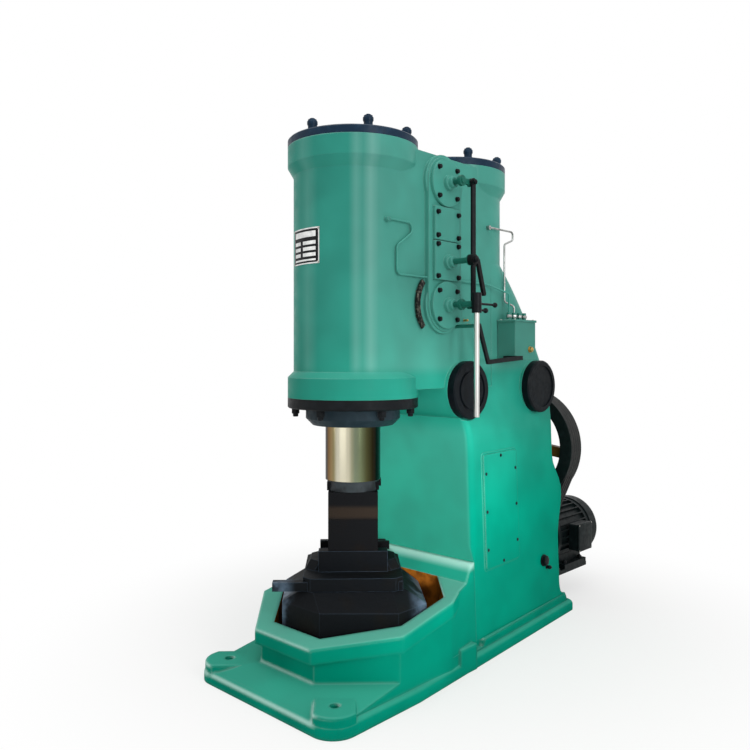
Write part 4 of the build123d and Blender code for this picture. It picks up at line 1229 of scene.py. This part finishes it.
@dataclass
class Fastener:
    """Hexagon bolt head or nut with a washer, modelled on +Z from its seat."""

    flats: float
    height: float
    washer: float = 0.0
    stud_r: float = 0.0
    stud_rise: float = 0.0
    domed: bool = False
    chamfer_share: float = 0.07
    crown_share: float = 0.035
    head_edge_share: float = 0.03
    washer_r_share: float = 0.66
    washer_inset_share: float = 0.05
    washer_edge_share: float = 0.25
    washer_sides: int = 28
    stud_foot_share: float = 0.5
    stud_tip_shares: Span = (0.16, 0.14)
    dome_shares: tuple[Span, ...] = ((0.28, 0.30), (0.30, 0.12))
    stud_edge_share: float = 0.06
    stud_sides: int = 20

    def stud(self) -> Piece:
        """Models the end of the stud.

        Returns:
            The new object.
        """
        head_top = self.washer + self.height
        foot = self.washer + self.height * self.stud_foot_share
        stud = round_bar(self.stud_r, foot, head_top + self.stud_rise, self.stud_sides)
        moves = []
        for inward, upward in self.dome_shares if self.domed else (self.stud_tip_shares,):
            moves += [inset(self.stud_r * inward), raise_by(self.stud_r * upward)]
        edit_faces(stud, facing_up, moves)
        return soften(stud, self.stud_r * self.stud_edge_share)

    def build(self) -> Piece:
        """Models the fastener.

        Returns:
            The new object at the origin.
        """
        corner_r = self.flats / math.sqrt(3.0)
        head = round_bar(corner_r, self.washer, self.washer + self.height, HEX_SIDES)
        edit_faces(head, facing_up, [
            inset(self.flats * self.chamfer_share),
            raise_by(self.flats * self.crown_share),
        ])
        parts = [soften(head, self.flats * self.head_edge_share)]
        if self.washer:
            ring = round_bar(self.flats * self.washer_r_share, 0.0, self.washer, self.washer_sides)
            edit_faces(ring, facing_up, [inset(self.flats * self.washer_inset_share)])
            parts.append(soften(ring, self.washer * self.washer_edge_share))
        if self.stud_r:
            parts.append(self.stud())
        return joined(parts)


@dataclass
class CapNut:
    """Round cap nut with a collar and a domed top, modelled on +Z from its seat."""

    radius: float
    height: float
    collar_r_share: float = 1.08
    collar_share: float = 0.10
    neck_inset_share: float = 0.24
    neck_shares: Span = (0.30, 0.12)
    ball_swell: float = 1.18
    ball_share: float = 0.24
    dome_shares: tuple[Span, ...] = ((0.16, 0.14), (0.34, 0.10))
    edge_share: float = 0.05
    sides: int = 28

    def build(self) -> Piece:
        """Models the nut.

        Returns:
            The new object at the origin.
        """
        collar_r = self.radius * self.collar_r_share
        nut = round_bar(collar_r, 0.0, self.height * self.collar_share, self.sides)
        moves = [inset(self.radius * self.neck_inset_share)]
        moves += [raise_by(self.height * share) for share in self.neck_shares]
        moves += [swell(self.ball_swell), raise_by(self.height * self.ball_share)]
        for inward, upward in self.dome_shares:
            moves += [inset(self.radius * inward), raise_by(self.height * upward)]
        edit_faces(nut, facing_up, moves)
        return soften(nut, self.radius * self.edge_share)


@dataclass
class SlottedScrew:
    """Round-headed screw with a slot, modelled on +Z from its seat."""

    radius: float
    height: float
    rim_share: float = 0.45
    dome_shares: tuple[Span, ...] = ((0.22, 0.38), (0.28, 0.17))
    edge_share: float = 0.05
    slot_length_share: float = 2.4
    slot_width_share: float = 0.26
    slot_rise_share: float = 1.1
    sides: int = 24

    def build(self) -> Piece:
        """Models the screw.

        Returns:
            The new object at the origin.
        """
        head = round_bar(self.radius, 0.0, self.height * self.rim_share, self.sides)
        moves = []
        for inward, upward in self.dome_shares:
            moves += [inset(self.radius * inward), raise_by(self.height * upward)]
        edit_faces(head, facing_up, moves)
        soften(head, self.radius * self.edge_share)
        length = self.radius * self.slot_length_share
        width = self.radius * self.slot_width_share
        slot = slab((length, width, self.height), (0.0, 0.0, self.height * self.slot_rise_share))
        take(head)
        cut = head.modifiers.new("slot", "BOOLEAN")
        cut.operation = "DIFFERENCE"
        cut.object = slot
        bpy.ops.object.modifier_apply(modifier=cut.name)
        bpy.data.objects.remove(slot)
        return head


# Sub-assemblies


@dataclass
class Castings:
    """Finishes of the CAD nodes, each by its own real material."""

    finishes: dict[str, Finish] = field(default_factory=lambda: {
        "base_casting": WELL,
        "frame_casting": GREEN,
        "working_cylinder_cover": NAVY,
        "compressor_cover": NAVY,
        "gland_ring": BLACK,
        "rod_gland": SLATE,
        "ram_rod": ROD,
        "upper_die": DIE,
        "upper_die_key": DIE,
        "lower_die": DIE,
        "lower_die_key": DIE,
        "anvil_block": ANVIL,
        "anvil_cap": ANVIL,
        "anvil_cap_wedge": ANVIL,
        "upper_valve_cover": GREEN,
        "lower_valve_cover": GREEN,
        "upper_chest_plate": GREEN,
        "middle_valve_cover": GREEN,
        "upper_valve_arm": ARM,
        "lower_valve_arm": ARM,
        "valve_link_bar": BLACK,
        "middle_valve_lever": LEVER,
        "handle_socket": BLACK,
        "operating_handle": HANDLE,
        "handle_knobs": BLACK,
        "quadrant": MARKED,
        "lubricator": BOX_GREEN_PAINTED_SHADE,
        "lubricator_link": OIL_LINK,
        "front_oil_pipe": GREEN,
        "chest_oil_pipe": GREEN,
        "rear_oil_pipe": PIPE,
        "right_front_cap": CAP,
        "right_rear_cap": CAP,
        "left_front_cap": CAP,
        "left_rear_cap": CAP,
        "right_access_panel": GREEN,
        "left_access_panel": GREEN,
        "crankshaft": BRIGHT,
        "flywheel": WHEEL,
        "motor_bracket": MOTOR,
        "motor_body": MOTOR,
        "motor_fan_cover": MOTOR,
        "motor_terminal_box": MOTOR,
        "motor_pulley": MOTOR,
        "drive_belts": RUBBER,
    })

    def build(self) -> None:
        """Gives every CAD node its finish."""
        for name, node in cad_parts.items():
            PALETTE.dress(node, self.finishes[name])
            LOG.info("%s: %s", name, self.finishes[name].name)


@dataclass
class CylinderFittings:
    """Cap nuts of the cylinder covers and nuts under the gland ring."""

    cover_z: float = 2.524
    stud_circle: float = 0.262
    stud_count: int = 6
    stud_start_deg: float = -90.0
    stud_nut: CapNut = field(default_factory=lambda: CapNut(0.0245, 0.058))
    compressor_y: float = 0.750
    ring_z: float = 1.255
    ring_circle: float = 0.276
    ring_count: int = 6
    ring_start_deg: float = -137.0
    ring_nut: Fastener = field(default_factory=lambda: Fastener(0.036, 0.026, 0.004, 0.013, 0.014))

    def circle(self, axis: Span, radius: float, count: int, start_deg: float,
               direction: float) -> list[Matrix]:
        """Places on a bolt circle about an upright axis.

        Args:
            axis: Place of the axis along the machine and level of the seats.
            radius: Radius of the bolt circle.
            count: Number of places.
            start_deg: Angle of the first place.
            direction: Plus one for parts that stand up, minus one for parts that hang.

        Returns:
            One matrix per place.
        """
        places = []
        for step in range(count):
            angle = math.radians(start_deg + FULL_TURN * step / count)
            point = (radius * math.cos(angle), axis[0] + radius * math.sin(angle), axis[1])
            places.append(aimed(point, (0.0, 0.0, direction), math.degrees(angle)))
        return places

    def build(self) -> None:
        """Builds the cap nuts of both covers and the nuts of the gland ring."""
        for name, y in (("working_cover_studs", 0.0), ("compressor_cover_studs", self.compressor_y)):
            places = self.circle((y, self.cover_z), self.stud_circle, self.stud_count,
                                 self.stud_start_deg, 1.0)
            fit(spread_copies(self.stud_nut.build(), places), name, NAVY, Body.FRAME)
        places = self.circle((0.0, self.ring_z), self.ring_circle, self.ring_count,
                             self.ring_start_deg, -1.0)
        nuts = spread_copies(self.ring_nut.build(), places)
        fit(nuts, "gland_ring_nuts", BLACK, Body.FRAME)


@dataclass
class Nameplate:
    """Bare plate on the working cylinder: a dark field with empty pale boxes, held by screws."""

    barrel_r: float = 0.284
    middle_z: float = 2.000
    height: float = 0.164
    middle_deg: float = -97.0
    span_deg: float = 40.0
    thickness: float = 0.0022
    back_gap: float = 0.3 * MM
    steps: int = 14
    border: float = 0.006
    border_deg: float = 1.3
    field_thickness: float = 0.5 * MM
    field_steps: int = 12
    box_thickness: float = 0.3 * MM
    box_steps: int = 6
    box_border_deg: float = 4.0
    gutter_deg: float = 3.0
    gutter_half_deg: float = 2.0
    title: Span = (0.042, 0.026)
    foot: Span = (0.014, 0.008)
    row_start: float = 0.034
    row_pitch: float = 0.027
    row_height: float = 0.016
    row_count: int = 3
    screw: SlottedScrew = field(default_factory=lambda: SlottedScrew(0.005, 0.004))
    screw_deg: float = 1.2

    def boxes(self, levels: Span, ends: Span, face_r: float) -> Piece:
        """Empty boxes: a title, rows in two columns and a foot line.

        Args:
            levels: Lower and upper edge of the plate.
            ends: Angles of its two ends.
            face_r: Radius of the dark field's face.

        Returns:
            One object that holds all the boxes.
        """
        left, right = ends[0] + self.box_border_deg, ends[1] - self.box_border_deg
        middle = self.middle_deg - self.gutter_deg
        columns = ((left, middle - self.gutter_half_deg), (middle + self.gutter_half_deg, right))
        rows = [(levels[1] - self.title[0], self.title[1], ((left, right),)),
                (levels[0] + self.foot[0], self.foot[1], ((left, right),))]
        for row in range(self.row_count):
            rows.append((levels[0] + self.row_start + self.row_pitch * row, self.row_height, columns))
        radii = (face_r, face_r + self.box_thickness)
        return joined([bent_plate((z, z + tall), span, radii, self.box_steps)
                       for z, tall, spans in rows for span in spans])

    def build(self) -> None:
        """Builds the plate, its field, its boxes and its screws."""
        half = self.span_deg / 2
        ends = (self.middle_deg - half, self.middle_deg + half)
        levels = (self.middle_z - self.height / 2, self.middle_z + self.height / 2)
        face_r = self.barrel_r + self.thickness
        field_r = face_r + self.field_thickness
        plate = bent_plate(levels, ends, (self.barrel_r + self.back_gap, face_r), self.steps)
        fit(plate, "nameplate", PLATE, Body.FRAME)
        dark = bent_plate((levels[0] + self.border, levels[1] - self.border),
                          (ends[0] + self.border_deg, ends[1] - self.border_deg), (face_r, field_r),
                          self.field_steps)
        fit(dark, "nameplate_field", FIELD, Body.FRAME)
        fit(self.boxes(levels, ends, field_r), "nameplate_boxes", PLATE, Body.FRAME)
        pattern = self.screw.build()
        places = []
        for angle in (ends[0] + self.screw_deg, ends[1] - self.screw_deg):
            for z in (levels[0] + self.border, levels[1] - self.border):
                way = Vector((math.cos(math.radians(angle)), math.sin(math.radians(angle)), 0.0))
                places.append(aimed(way * face_r + Vector((0.0, 0.0, z)), way))
        fit(spread_copies(pattern, places), "nameplate_screws", BRIGHT, Body.FRAME)


@dataclass
class ValveGear:
    """Bolts of the valve covers, nuts on the link's pins and the nut of the bent lever."""

    plate_x: float = 0.325
    valve_y: float = 0.324
    upper_z: float = 2.33442
    middle_z: float = 1.952896
    lower_z: float = 1.74526
    cover_circle: float = 0.097
    cover_start_deg: float = 45.0
    cover_count: int = 4
    plate_half: float = 0.079
    plate_rows: tuple[float, ...] = (2.187, 2.076, 2.034, 1.882)
    cover_spin_deg: float = 12.0
    plate_spin_deg: float = 20.0
    pin_y: float = 0.390
    pin_x: float = 0.434
    lever_x: float = 0.484
    bolt: Fastener = field(default_factory=lambda: Fastener(0.0195, 0.011, 0.002))
    pin_nut: Fastener = field(default_factory=lambda: Fastener(0.022, 0.009, 0.0, 0.006, 0.003))
    hub_nut: Fastener = field(default_factory=lambda: Fastener(0.028, 0.010, 0.003, 0.008, 0.004))

    def bolt_places(self) -> list[Matrix]:
        """Places of the bolts on both round covers and on the plates between them.

        Returns:
            One matrix per bolt.
        """
        places = []
        for z in (self.upper_z, self.lower_z):
            for step in range(self.cover_count):
                angle = math.radians(self.cover_start_deg + FULL_TURN * step / self.cover_count)
                point = (self.plate_x, self.valve_y + self.cover_circle * math.cos(angle),
                         z + self.cover_circle * math.sin(angle))
                places.append(aimed(point, RIGHT, self.cover_spin_deg * step))
        for z in self.plate_rows:
            for y in (self.valve_y - self.plate_half, self.valve_y + self.plate_half):
                places.append(aimed((self.plate_x, y, z), RIGHT, self.plate_spin_deg))
        return places

    def build(self) -> None:
        """Builds the fasteners of the valve gear."""
        bolts = spread_copies(self.bolt.build(), self.bolt_places())
        fit(bolts, "valve_cover_bolts", BLACK, Body.FRAME)
        upper_end = (self.pin_x, self.pin_y, self.upper_z)
        lower_end = (self.pin_x, self.pin_y, self.lower_z)
        lever_end = (self.lever_x, self.valve_y, self.middle_z)
        for name, pattern, point, body in (
                ("upper_pin_nut", self.pin_nut, upper_end, Body.UPPER_VALVE),
                ("lower_pin_nut", self.pin_nut, lower_end, Body.LOWER_VALVE),
                ("lever_hub_nut", self.hub_nut, lever_end, Body.MIDDLE_VALVE)):
            nut = pattern.build()
            nut.data.transform(aimed(point, RIGHT))
            fit(nut, name, BLACK, body)


@dataclass
class OilFittings:
    """Plug, unions, lid screws and grease nipples of the lubricating system."""

    face_x: float = 0.395
    plug_at: Span = (0.944, 1.535)
    plug_spin_deg: float = 15.0
    plug: Fastener = field(default_factory=lambda: Fastener(0.026, 0.012, 0.004, 0.008, 0.004, domed=True))
    lid_z: float = 1.692
    union_x: float = 0.340
    first_union_y: float = 0.8285
    union_pitch: float = 0.049
    union_count: int = 4
    union_rise: float = 0.012
    union_spin_deg: float = 17.0
    union_nut: Fastener = field(default_factory=lambda: Fastener(0.027, 0.014))
    lid_screw: SlottedScrew = field(default_factory=lambda: SlottedScrew(0.006, 0.004))
    lid_inner: float = 0.016
    lid_border: float = 0.014
    lid_spin_deg: float = 30.0
    wall_x: float = 0.290
    nipples: tuple[Span, ...] = ((0.500, 1.679), (0.525, 1.655))
    nipple: CapNut = field(default_factory=lambda: CapNut(0.0065, 0.026))

    def build(self) -> None:
        """Builds the fittings."""
        plug = self.plug.build()
        plug.data.transform(aimed((self.face_x, *self.plug_at), RIGHT, self.plug_spin_deg))
        fit(plug, "lubricator_plug", BRASS, Body.FRAME)
        union_z = self.lid_z + self.union_rise
        places = [aimed((self.union_x, self.first_union_y + self.union_pitch * step, union_z), UP,
                        self.union_spin_deg * step) for step in range(self.union_count)]
        fit(spread_copies(self.union_nut.build(), places), "union_nuts", PIPE, Body.FRAME)
        low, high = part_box("lubricator")
        places = [aimed((x, y, self.lid_z), UP, self.lid_spin_deg)
                  for x in (low.x + self.lid_inner, high.x - self.lid_border)
                  for y in (low.y + self.lid_border, high.y - self.lid_border)]
        screws = spread_copies(self.lid_screw.build(), places)
        fit(screws, "lubricator_lid_screws", BRIGHT, Body.FRAME)
        places = [aimed((self.wall_x, *spot), RIGHT) for spot in self.nipples]
        fit(spread_copies(self.nipple.build(), places), "grease_nipples", BRASS, Body.FRAME)


@dataclass
class ColumnFittings:
    """Screws of the access panels, the plug in the drain hole and the cock beside it."""

    half_width: float = 0.148
    half_height: float = 0.270
    rise: float = 0.190
    screw: SlottedScrew = field(default_factory=lambda: SlottedScrew(0.0085, 0.005))
    screw_spin_deg: float = 37.0
    plug_at: Span = (1.176, 0.350)
    plug: Fastener = field(default_factory=lambda: Fastener(0.050, 0.016, 0.008))
    cock_at: Span = (1.212, 0.306)
    cock: CapNut = field(default_factory=lambda: CapNut(0.011, 0.032))
    drain_spin_deg: float = 10.0
    outside_x: float = 1.0
    flat_share: float = 0.8

    def outer_face(self, name: str, side: float) -> tuple[Vector, Vector]:
        """Plane of the large outer face of a CAD node.

        Args:
            name: The node.
            side: Plus one for its +X side, minus one for its -X side.

        Returns:
            A point of the face and its normal.
        """
        faces = [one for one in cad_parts[name].data.polygons
                 if one.normal.x * side > self.flat_share]
        face = max(faces, key=lambda one: one.area)
        return face.center.copy(), face.normal.copy()

    def on_plane(self, point: Vector, way: Vector, spot: Span) -> Triple:
        """Point of a wall's plane at a place along the machine and a height.

        Args:
            point: A point of the plane.
            way: Its normal.
            spot: Y and Z of the point wanted.

        Returns:
            The point in metres.
        """
        y, z = spot
        return (point.x - (way.y * (y - point.y) + way.z * (z - point.z)) / way.x, y, z)

    def drain(self) -> None:
        """Hexagon plug in the drain hole, with a small cock below it, both square to the wall."""
        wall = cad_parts["frame_casting"]
        _, hit, way, _ = wall.ray_cast(Vector((self.outside_x, *self.cock_at)), -Vector(RIGHT))
        fittings = (("drain_plug", self.plug_at, self.plug), ("drain_cock", self.cock_at, self.cock))
        for name, spot, pattern in fittings:
            piece = pattern.build()
            piece.data.transform(aimed(self.on_plane(hit, way, spot), way, self.drain_spin_deg))
            fit(piece, name, BLACK, Body.FRAME)

    def build(self) -> None:
        """Builds the drain and the screws of both panels."""
        self.drain()
        spots = [(0.0, self.half_height), (0.0, -self.half_height)]
        spots += [(along, up) for along in (-self.half_width, self.half_width)
                  for up in (self.rise, 0.0, -self.rise)]
        for side, word in ((1.0, "right"), (-1.0, "left")):
            low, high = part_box(f"{word}_access_panel")
            middle = (low + high) / 2
            point, way = self.outer_face(f"{word}_access_panel", side)
            places = [aimed(self.on_plane(point, way, (middle.y + along, middle.z + up)), way,
                            self.screw_spin_deg * step) for step, (along, up) in enumerate(spots)]
            screws = spread_copies(self.screw.build(), places)
            fit(screws, f"{word}_panel_screws", BLACK, Body.FRAME)


@dataclass
class MotorFittings:
    """Grille of the fan cover, lid of the terminal box, bolts and the flywheel's end nut."""

    axis_z: float = 0.358
    fan_y: float = 2.136
    ring_radii: tuple[float, ...] = (0.040, 0.070, 0.100, 0.130)
    ring_half: float = 0.0035
    ring_rise: float = 0.003
    ring_steps: int = 48
    rib_count: int = 8
    rib_size: Triple = (0.120, 0.005, 0.005)
    rib_middle: float = 0.080
    grille_edge: float = 0.001
    lid_thickness: float = 0.010
    lid_overhang: float = 0.008
    lid_offset: float = 0.004
    lid_border: float = 0.012
    lid_crown: float = 0.003
    lid_edge: float = 0.002
    lid_screw: SlottedScrew = field(default_factory=lambda: SlottedScrew(0.005, 0.004))
    lid_screw_x: float = 0.009
    lid_screw_inset: float = 0.004
    lid_screw_spin_deg: float = 25.0
    foot_bolt: Fastener = field(default_factory=lambda: Fastener(0.024, 0.012, 0.003, 0.007, 0.006))
    foot_rise: float = 0.026
    foot_inset: float = 0.024
    foot_rows: Span = (1.730, 1.920)
    bracket_bolt: Fastener = field(default_factory=lambda: Fastener(0.030, 0.016, 0.004))
    bracket_plate: float = 0.026
    bracket_columns: Span = (-0.13, 0.13)
    bracket_drops: Span = (0.045, 0.150)
    bolt_spin_deg: float = 10.0
    wheel_z: float = 0.946
    shaft_end_y: float = 1.634
    shaft_nut: Fastener = field(default_factory=lambda: Fastener(0.060, 0.026, 0.006, 0.018, 0.010))

    def grille(self) -> None:
        """Rings and ribs on the fan cover's rear face."""
        parts = []
        for radius in self.ring_radii:
            ring = turned_ring((radius - self.ring_half, radius + self.ring_half),
                               (-self.ring_rise, self.ring_rise), self.ring_steps)
            parts.append(soften(ring, self.grille_edge))
        for step in range(self.rib_count):
            rib = slab(self.rib_size, (self.rib_middle, 0.0, 0.0))
            rib.data.transform(Matrix.Rotation(2.0 * math.pi * step / self.rib_count, 4, "Z"))
            parts.append(soften(rib, self.grille_edge))
        grille = joined(parts)
        grille.data.transform(aimed((0.0, self.fan_y, self.axis_z), REAR))
        take(grille)
        bpy.ops.object.shade_smooth_by_angle(angle=SMOOTH_ANGLE)
        fit(grille, "fan_grille", BLACK, Body.FRAME)

    def terminal_lid(self) -> None:
        """Lid with screws on the terminal box."""
        low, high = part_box("motor_terminal_box")
        along = high.y - low.y + self.lid_overhang
        tall = high.z - low.z + self.lid_overhang
        middle = (high.x + self.lid_offset, (low.y + high.y) / 2, (low.z + high.z) / 2)
        lid = slab((self.lid_thickness, along, tall), middle)
        edit_faces(lid, facing_right, [inset(self.lid_border), shift((self.lid_crown, 0.0, 0.0))])
        fit(soften(lid, self.lid_edge), "terminal_lid", MOTOR, Body.FRAME)
        places = [aimed((high.x + self.lid_screw_x, y, z), RIGHT, self.lid_screw_spin_deg)
                  for y in (low.y + self.lid_screw_inset, high.y - self.lid_screw_inset)
                  for z in (low.z + self.lid_screw_inset, high.z - self.lid_screw_inset)]
        screws = spread_copies(self.lid_screw.build(), places)
        fit(screws, "terminal_lid_screws", BRIGHT, Body.FRAME)

    def bolts(self) -> None:
        """Bolts of the motor's feet and of the bracket, and the nut on the crankshaft."""
        low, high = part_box("motor_body")
        places = [aimed((x, y, low.z + self.foot_rise), UP, self.bolt_spin_deg)
                  for x in (low.x + self.foot_inset, high.x - self.foot_inset) for y in self.foot_rows]
        bolts = spread_copies(self.foot_bolt.build(), places)
        fit(bolts, "motor_foot_bolts", BLACK, Body.FRAME)
        low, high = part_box("motor_bracket")
        places = [aimed((x, low.y + self.bracket_plate, high.z - drop), REAR, self.bolt_spin_deg)
                  for x in self.bracket_columns for drop in self.bracket_drops]
        bolts = spread_copies(self.bracket_bolt.build(), places)
        fit(bolts, "bracket_bolts", BLACK, Body.FRAME)
        nut = self.shaft_nut.build()
        nut.data.transform(aimed((0.0, self.shaft_end_y, self.wheel_z), REAR))
        fit(nut, "crankshaft_nut", BLACK, Body.CRANK)

    def build(self) -> None:
        """Builds all the fittings behind the column."""
        self.grille()
        self.terminal_lid()
        self.bolts()


@dataclass(frozen=True)
class Lamp:
    """A soft rectangular studio lamp."""

    name: str
    at: Triple
    size: Span
    watts: float


@dataclass
class Studio:
    """Camera, floor and light."""

    camera_at: Triple = (2.5745, -2.5824, 1.5)
    yaw_deg: float = 43.25
    focal_px: float = 758.0
    horizon_px: float = 356.0
    sensor_mm: float = 36.0
    view_end: float = 100.0
    floor_size: float = 40.0
    floor_z: float = -0.001
    floor_tone: str = "#f4f4f2"
    floor_middle: Triple = (0.0, 0.75, 0.0)
    floor_fade: Span = (0.9, 2.4)
    floor_white: Span = (0.62, 1.0)
    white: str = "#ffffff"
    sky: float = 0.50
    target: Triple = (0.0, 0.5, 1.2)
    lamps: tuple[Lamp, ...] = (
        Lamp("overhead", (0.5, -0.5, 6.0), (4.5, 4.5), 130.0),
        Lamp("front", (0.2, -5.0, 1.6), (2.6, 2.6), 10.0),
        Lamp("left_window", (-3.2, -4.2, 2.2), (0.5, 3.0), 10.0),
        Lamp("right", (5.2, -0.4, 3.2), (3.0, 3.0), 62.0),
        Lamp("right_window", (5.0, -1.4, 2.6), (0.6, 3.2), 45.0),
    )
    throat: Triple = (0.12, 0.44, 0.82)
    fill_at: Triple = (3.3, -1.95, 1.0)
    fill_watts: float = 2300.0
    fill_deg: float = 14.0
    fill_blend: float = 0.8
    fill_r: float = 0.6

    def camera(self) -> None:
        """Camera at the photograph's place."""
        data = bpy.data.cameras.new("camera")
        data.sensor_width = self.sensor_mm
        data.lens = self.focal_px / PHOTO_WIDTH * self.sensor_mm
        data.shift_y = -(PHOTO_WIDTH / 2 - self.horizon_px) / PHOTO_WIDTH
        data.clip_end = self.view_end
        camera = bpy.data.objects.new("camera", data)
        camera.location = self.camera_at
        camera.rotation_euler = (UPRIGHT, 0.0, math.radians(self.yaw_deg))
        bpy.context.scene.collection.objects.link(camera)
        bpy.context.scene.camera = camera

    def floor(self) -> None:
        """Matt white floor that keeps the shadow and fades to plain white away from the machine."""
        free_hand()
        bpy.ops.mesh.primitive_plane_add(size=self.floor_size, location=(0.0, 0.0, self.floor_z))
        floor = bpy.context.object
        floor.name = "floor"
        material = bpy.data.materials.new("matt_white_floor")
        material.use_nodes = True
        tree = material.node_tree
        tree.nodes.clear()
        place = add_node(tree, "TexCoord").outputs["Object"]
        way = add_node(tree, "VectorMath", {0: place, 1: self.floor_middle}, operation="DISTANCE")
        fade = add_node(tree, "MapRange", {
            "Value": way.outputs["Value"], "From Min": self.floor_fade[0],
            "From Max": self.floor_fade[1], "To Min": self.floor_white[0],
            "To Max": self.floor_white[1]}, interpolation_type="SMOOTHSTEP")
        matt = add_node(tree, "BsdfDiffuse", {"Color": linear(self.floor_tone)})
        white = add_node(tree, "Emission", {"Color": linear(self.white), "Strength": 1.0})
        path = add_node(tree, "LightPath")
        seen = add_node(tree, "Math", {0: path.outputs["Is Camera Ray"], 1: fade.outputs["Result"]},
                        operation="MULTIPLY")
        both = add_node(tree, "MixShader", {0: seen.outputs[0], 1: matt.outputs[0], 2: white.outputs[0]})
        add_node(tree, "OutputMaterial", {"Surface": both.outputs[0]})
        floor.data.materials.append(material)

    def world(self) -> None:
        """White surroundings for the eye and for reflections, softer as a light."""
        world = bpy.data.worlds.new("white_studio")
        bpy.context.scene.world = world
        world.use_nodes = True
        tree = world.node_tree
        tree.nodes.clear()
        path = add_node(tree, "LightPath")
        shown = path.outputs["Is Camera Ray"]
        for ray in ("Is Glossy Ray", "Is Transmission Ray"):
            either = add_node(tree, "Math", {0: shown, 1: path.outputs[ray]}, operation="MAXIMUM")
            shown = either.outputs[0]
        strength = add_node(tree, "MapRange", {"Value": shown, "To Min": self.sky, "To Max": 1.0})
        back = add_node(tree, "Background", {
            "Color": linear(self.white), "Strength": strength.outputs["Result"]})
        add_node(tree, "OutputWorld", {"Surface": back.outputs[0]})

    def hang(self, name: str, data: bpy.types.Light, at: Triple, target: Triple) -> Piece:
        """Hangs a lamp at its place and points it.

        Args:
            name: Name of the lamp.
            data: Its light.
            at: Its place in metres.
            target: What it points at.

        Returns:
            The lamp's object.
        """
        lamp = bpy.data.objects.new(name, data)
        lamp.location = at
        lamp.rotation_euler = (Vector(target) - Vector(at)).to_track_quat("-Z", "Y").to_euler()
        bpy.context.scene.collection.objects.link(lamp)
        return lamp

    def light(self) -> None:
        """Soft lamps round the machine and a soft spot for the column's face under the cylinder."""
        for lamp in self.lamps:
            data = bpy.data.lights.new(lamp.name, "AREA")
            data.energy = lamp.watts
            data.shape = "RECTANGLE"
            data.size, data.size_y = lamp.size
            self.hang(lamp.name, data, lamp.at, self.target)
        fill = bpy.data.lights.new("throat_fill", "SPOT")
        fill.energy = self.fill_watts
        fill.spot_size = math.radians(self.fill_deg)
        fill.spot_blend = self.fill_blend
        fill.shadow_soft_size = self.fill_r
        self.hang("throat_fill", fill, self.fill_at, self.throat).visible_glossy = False

    def build(self) -> None:
        """Sets up the studio."""
        bpy.context.scene.view_settings.view_transform = "Standard"
        self.camera()
        self.floor()
        self.world()
        self.light()


def main() -> None:
    """Sets up the studio, dresses the CAD nodes and adds the fittings."""
    logging.basicConfig(level=logging.INFO, format="%(name)s %(message)s")
    for group in (Studio(), Castings(), CylinderFittings(), Nameplate(), ValveGear(), OilFittings(),
                  ColumnFittings(), MotorFittings()):
        group.build()


if __name__ == "__main__":
    main()
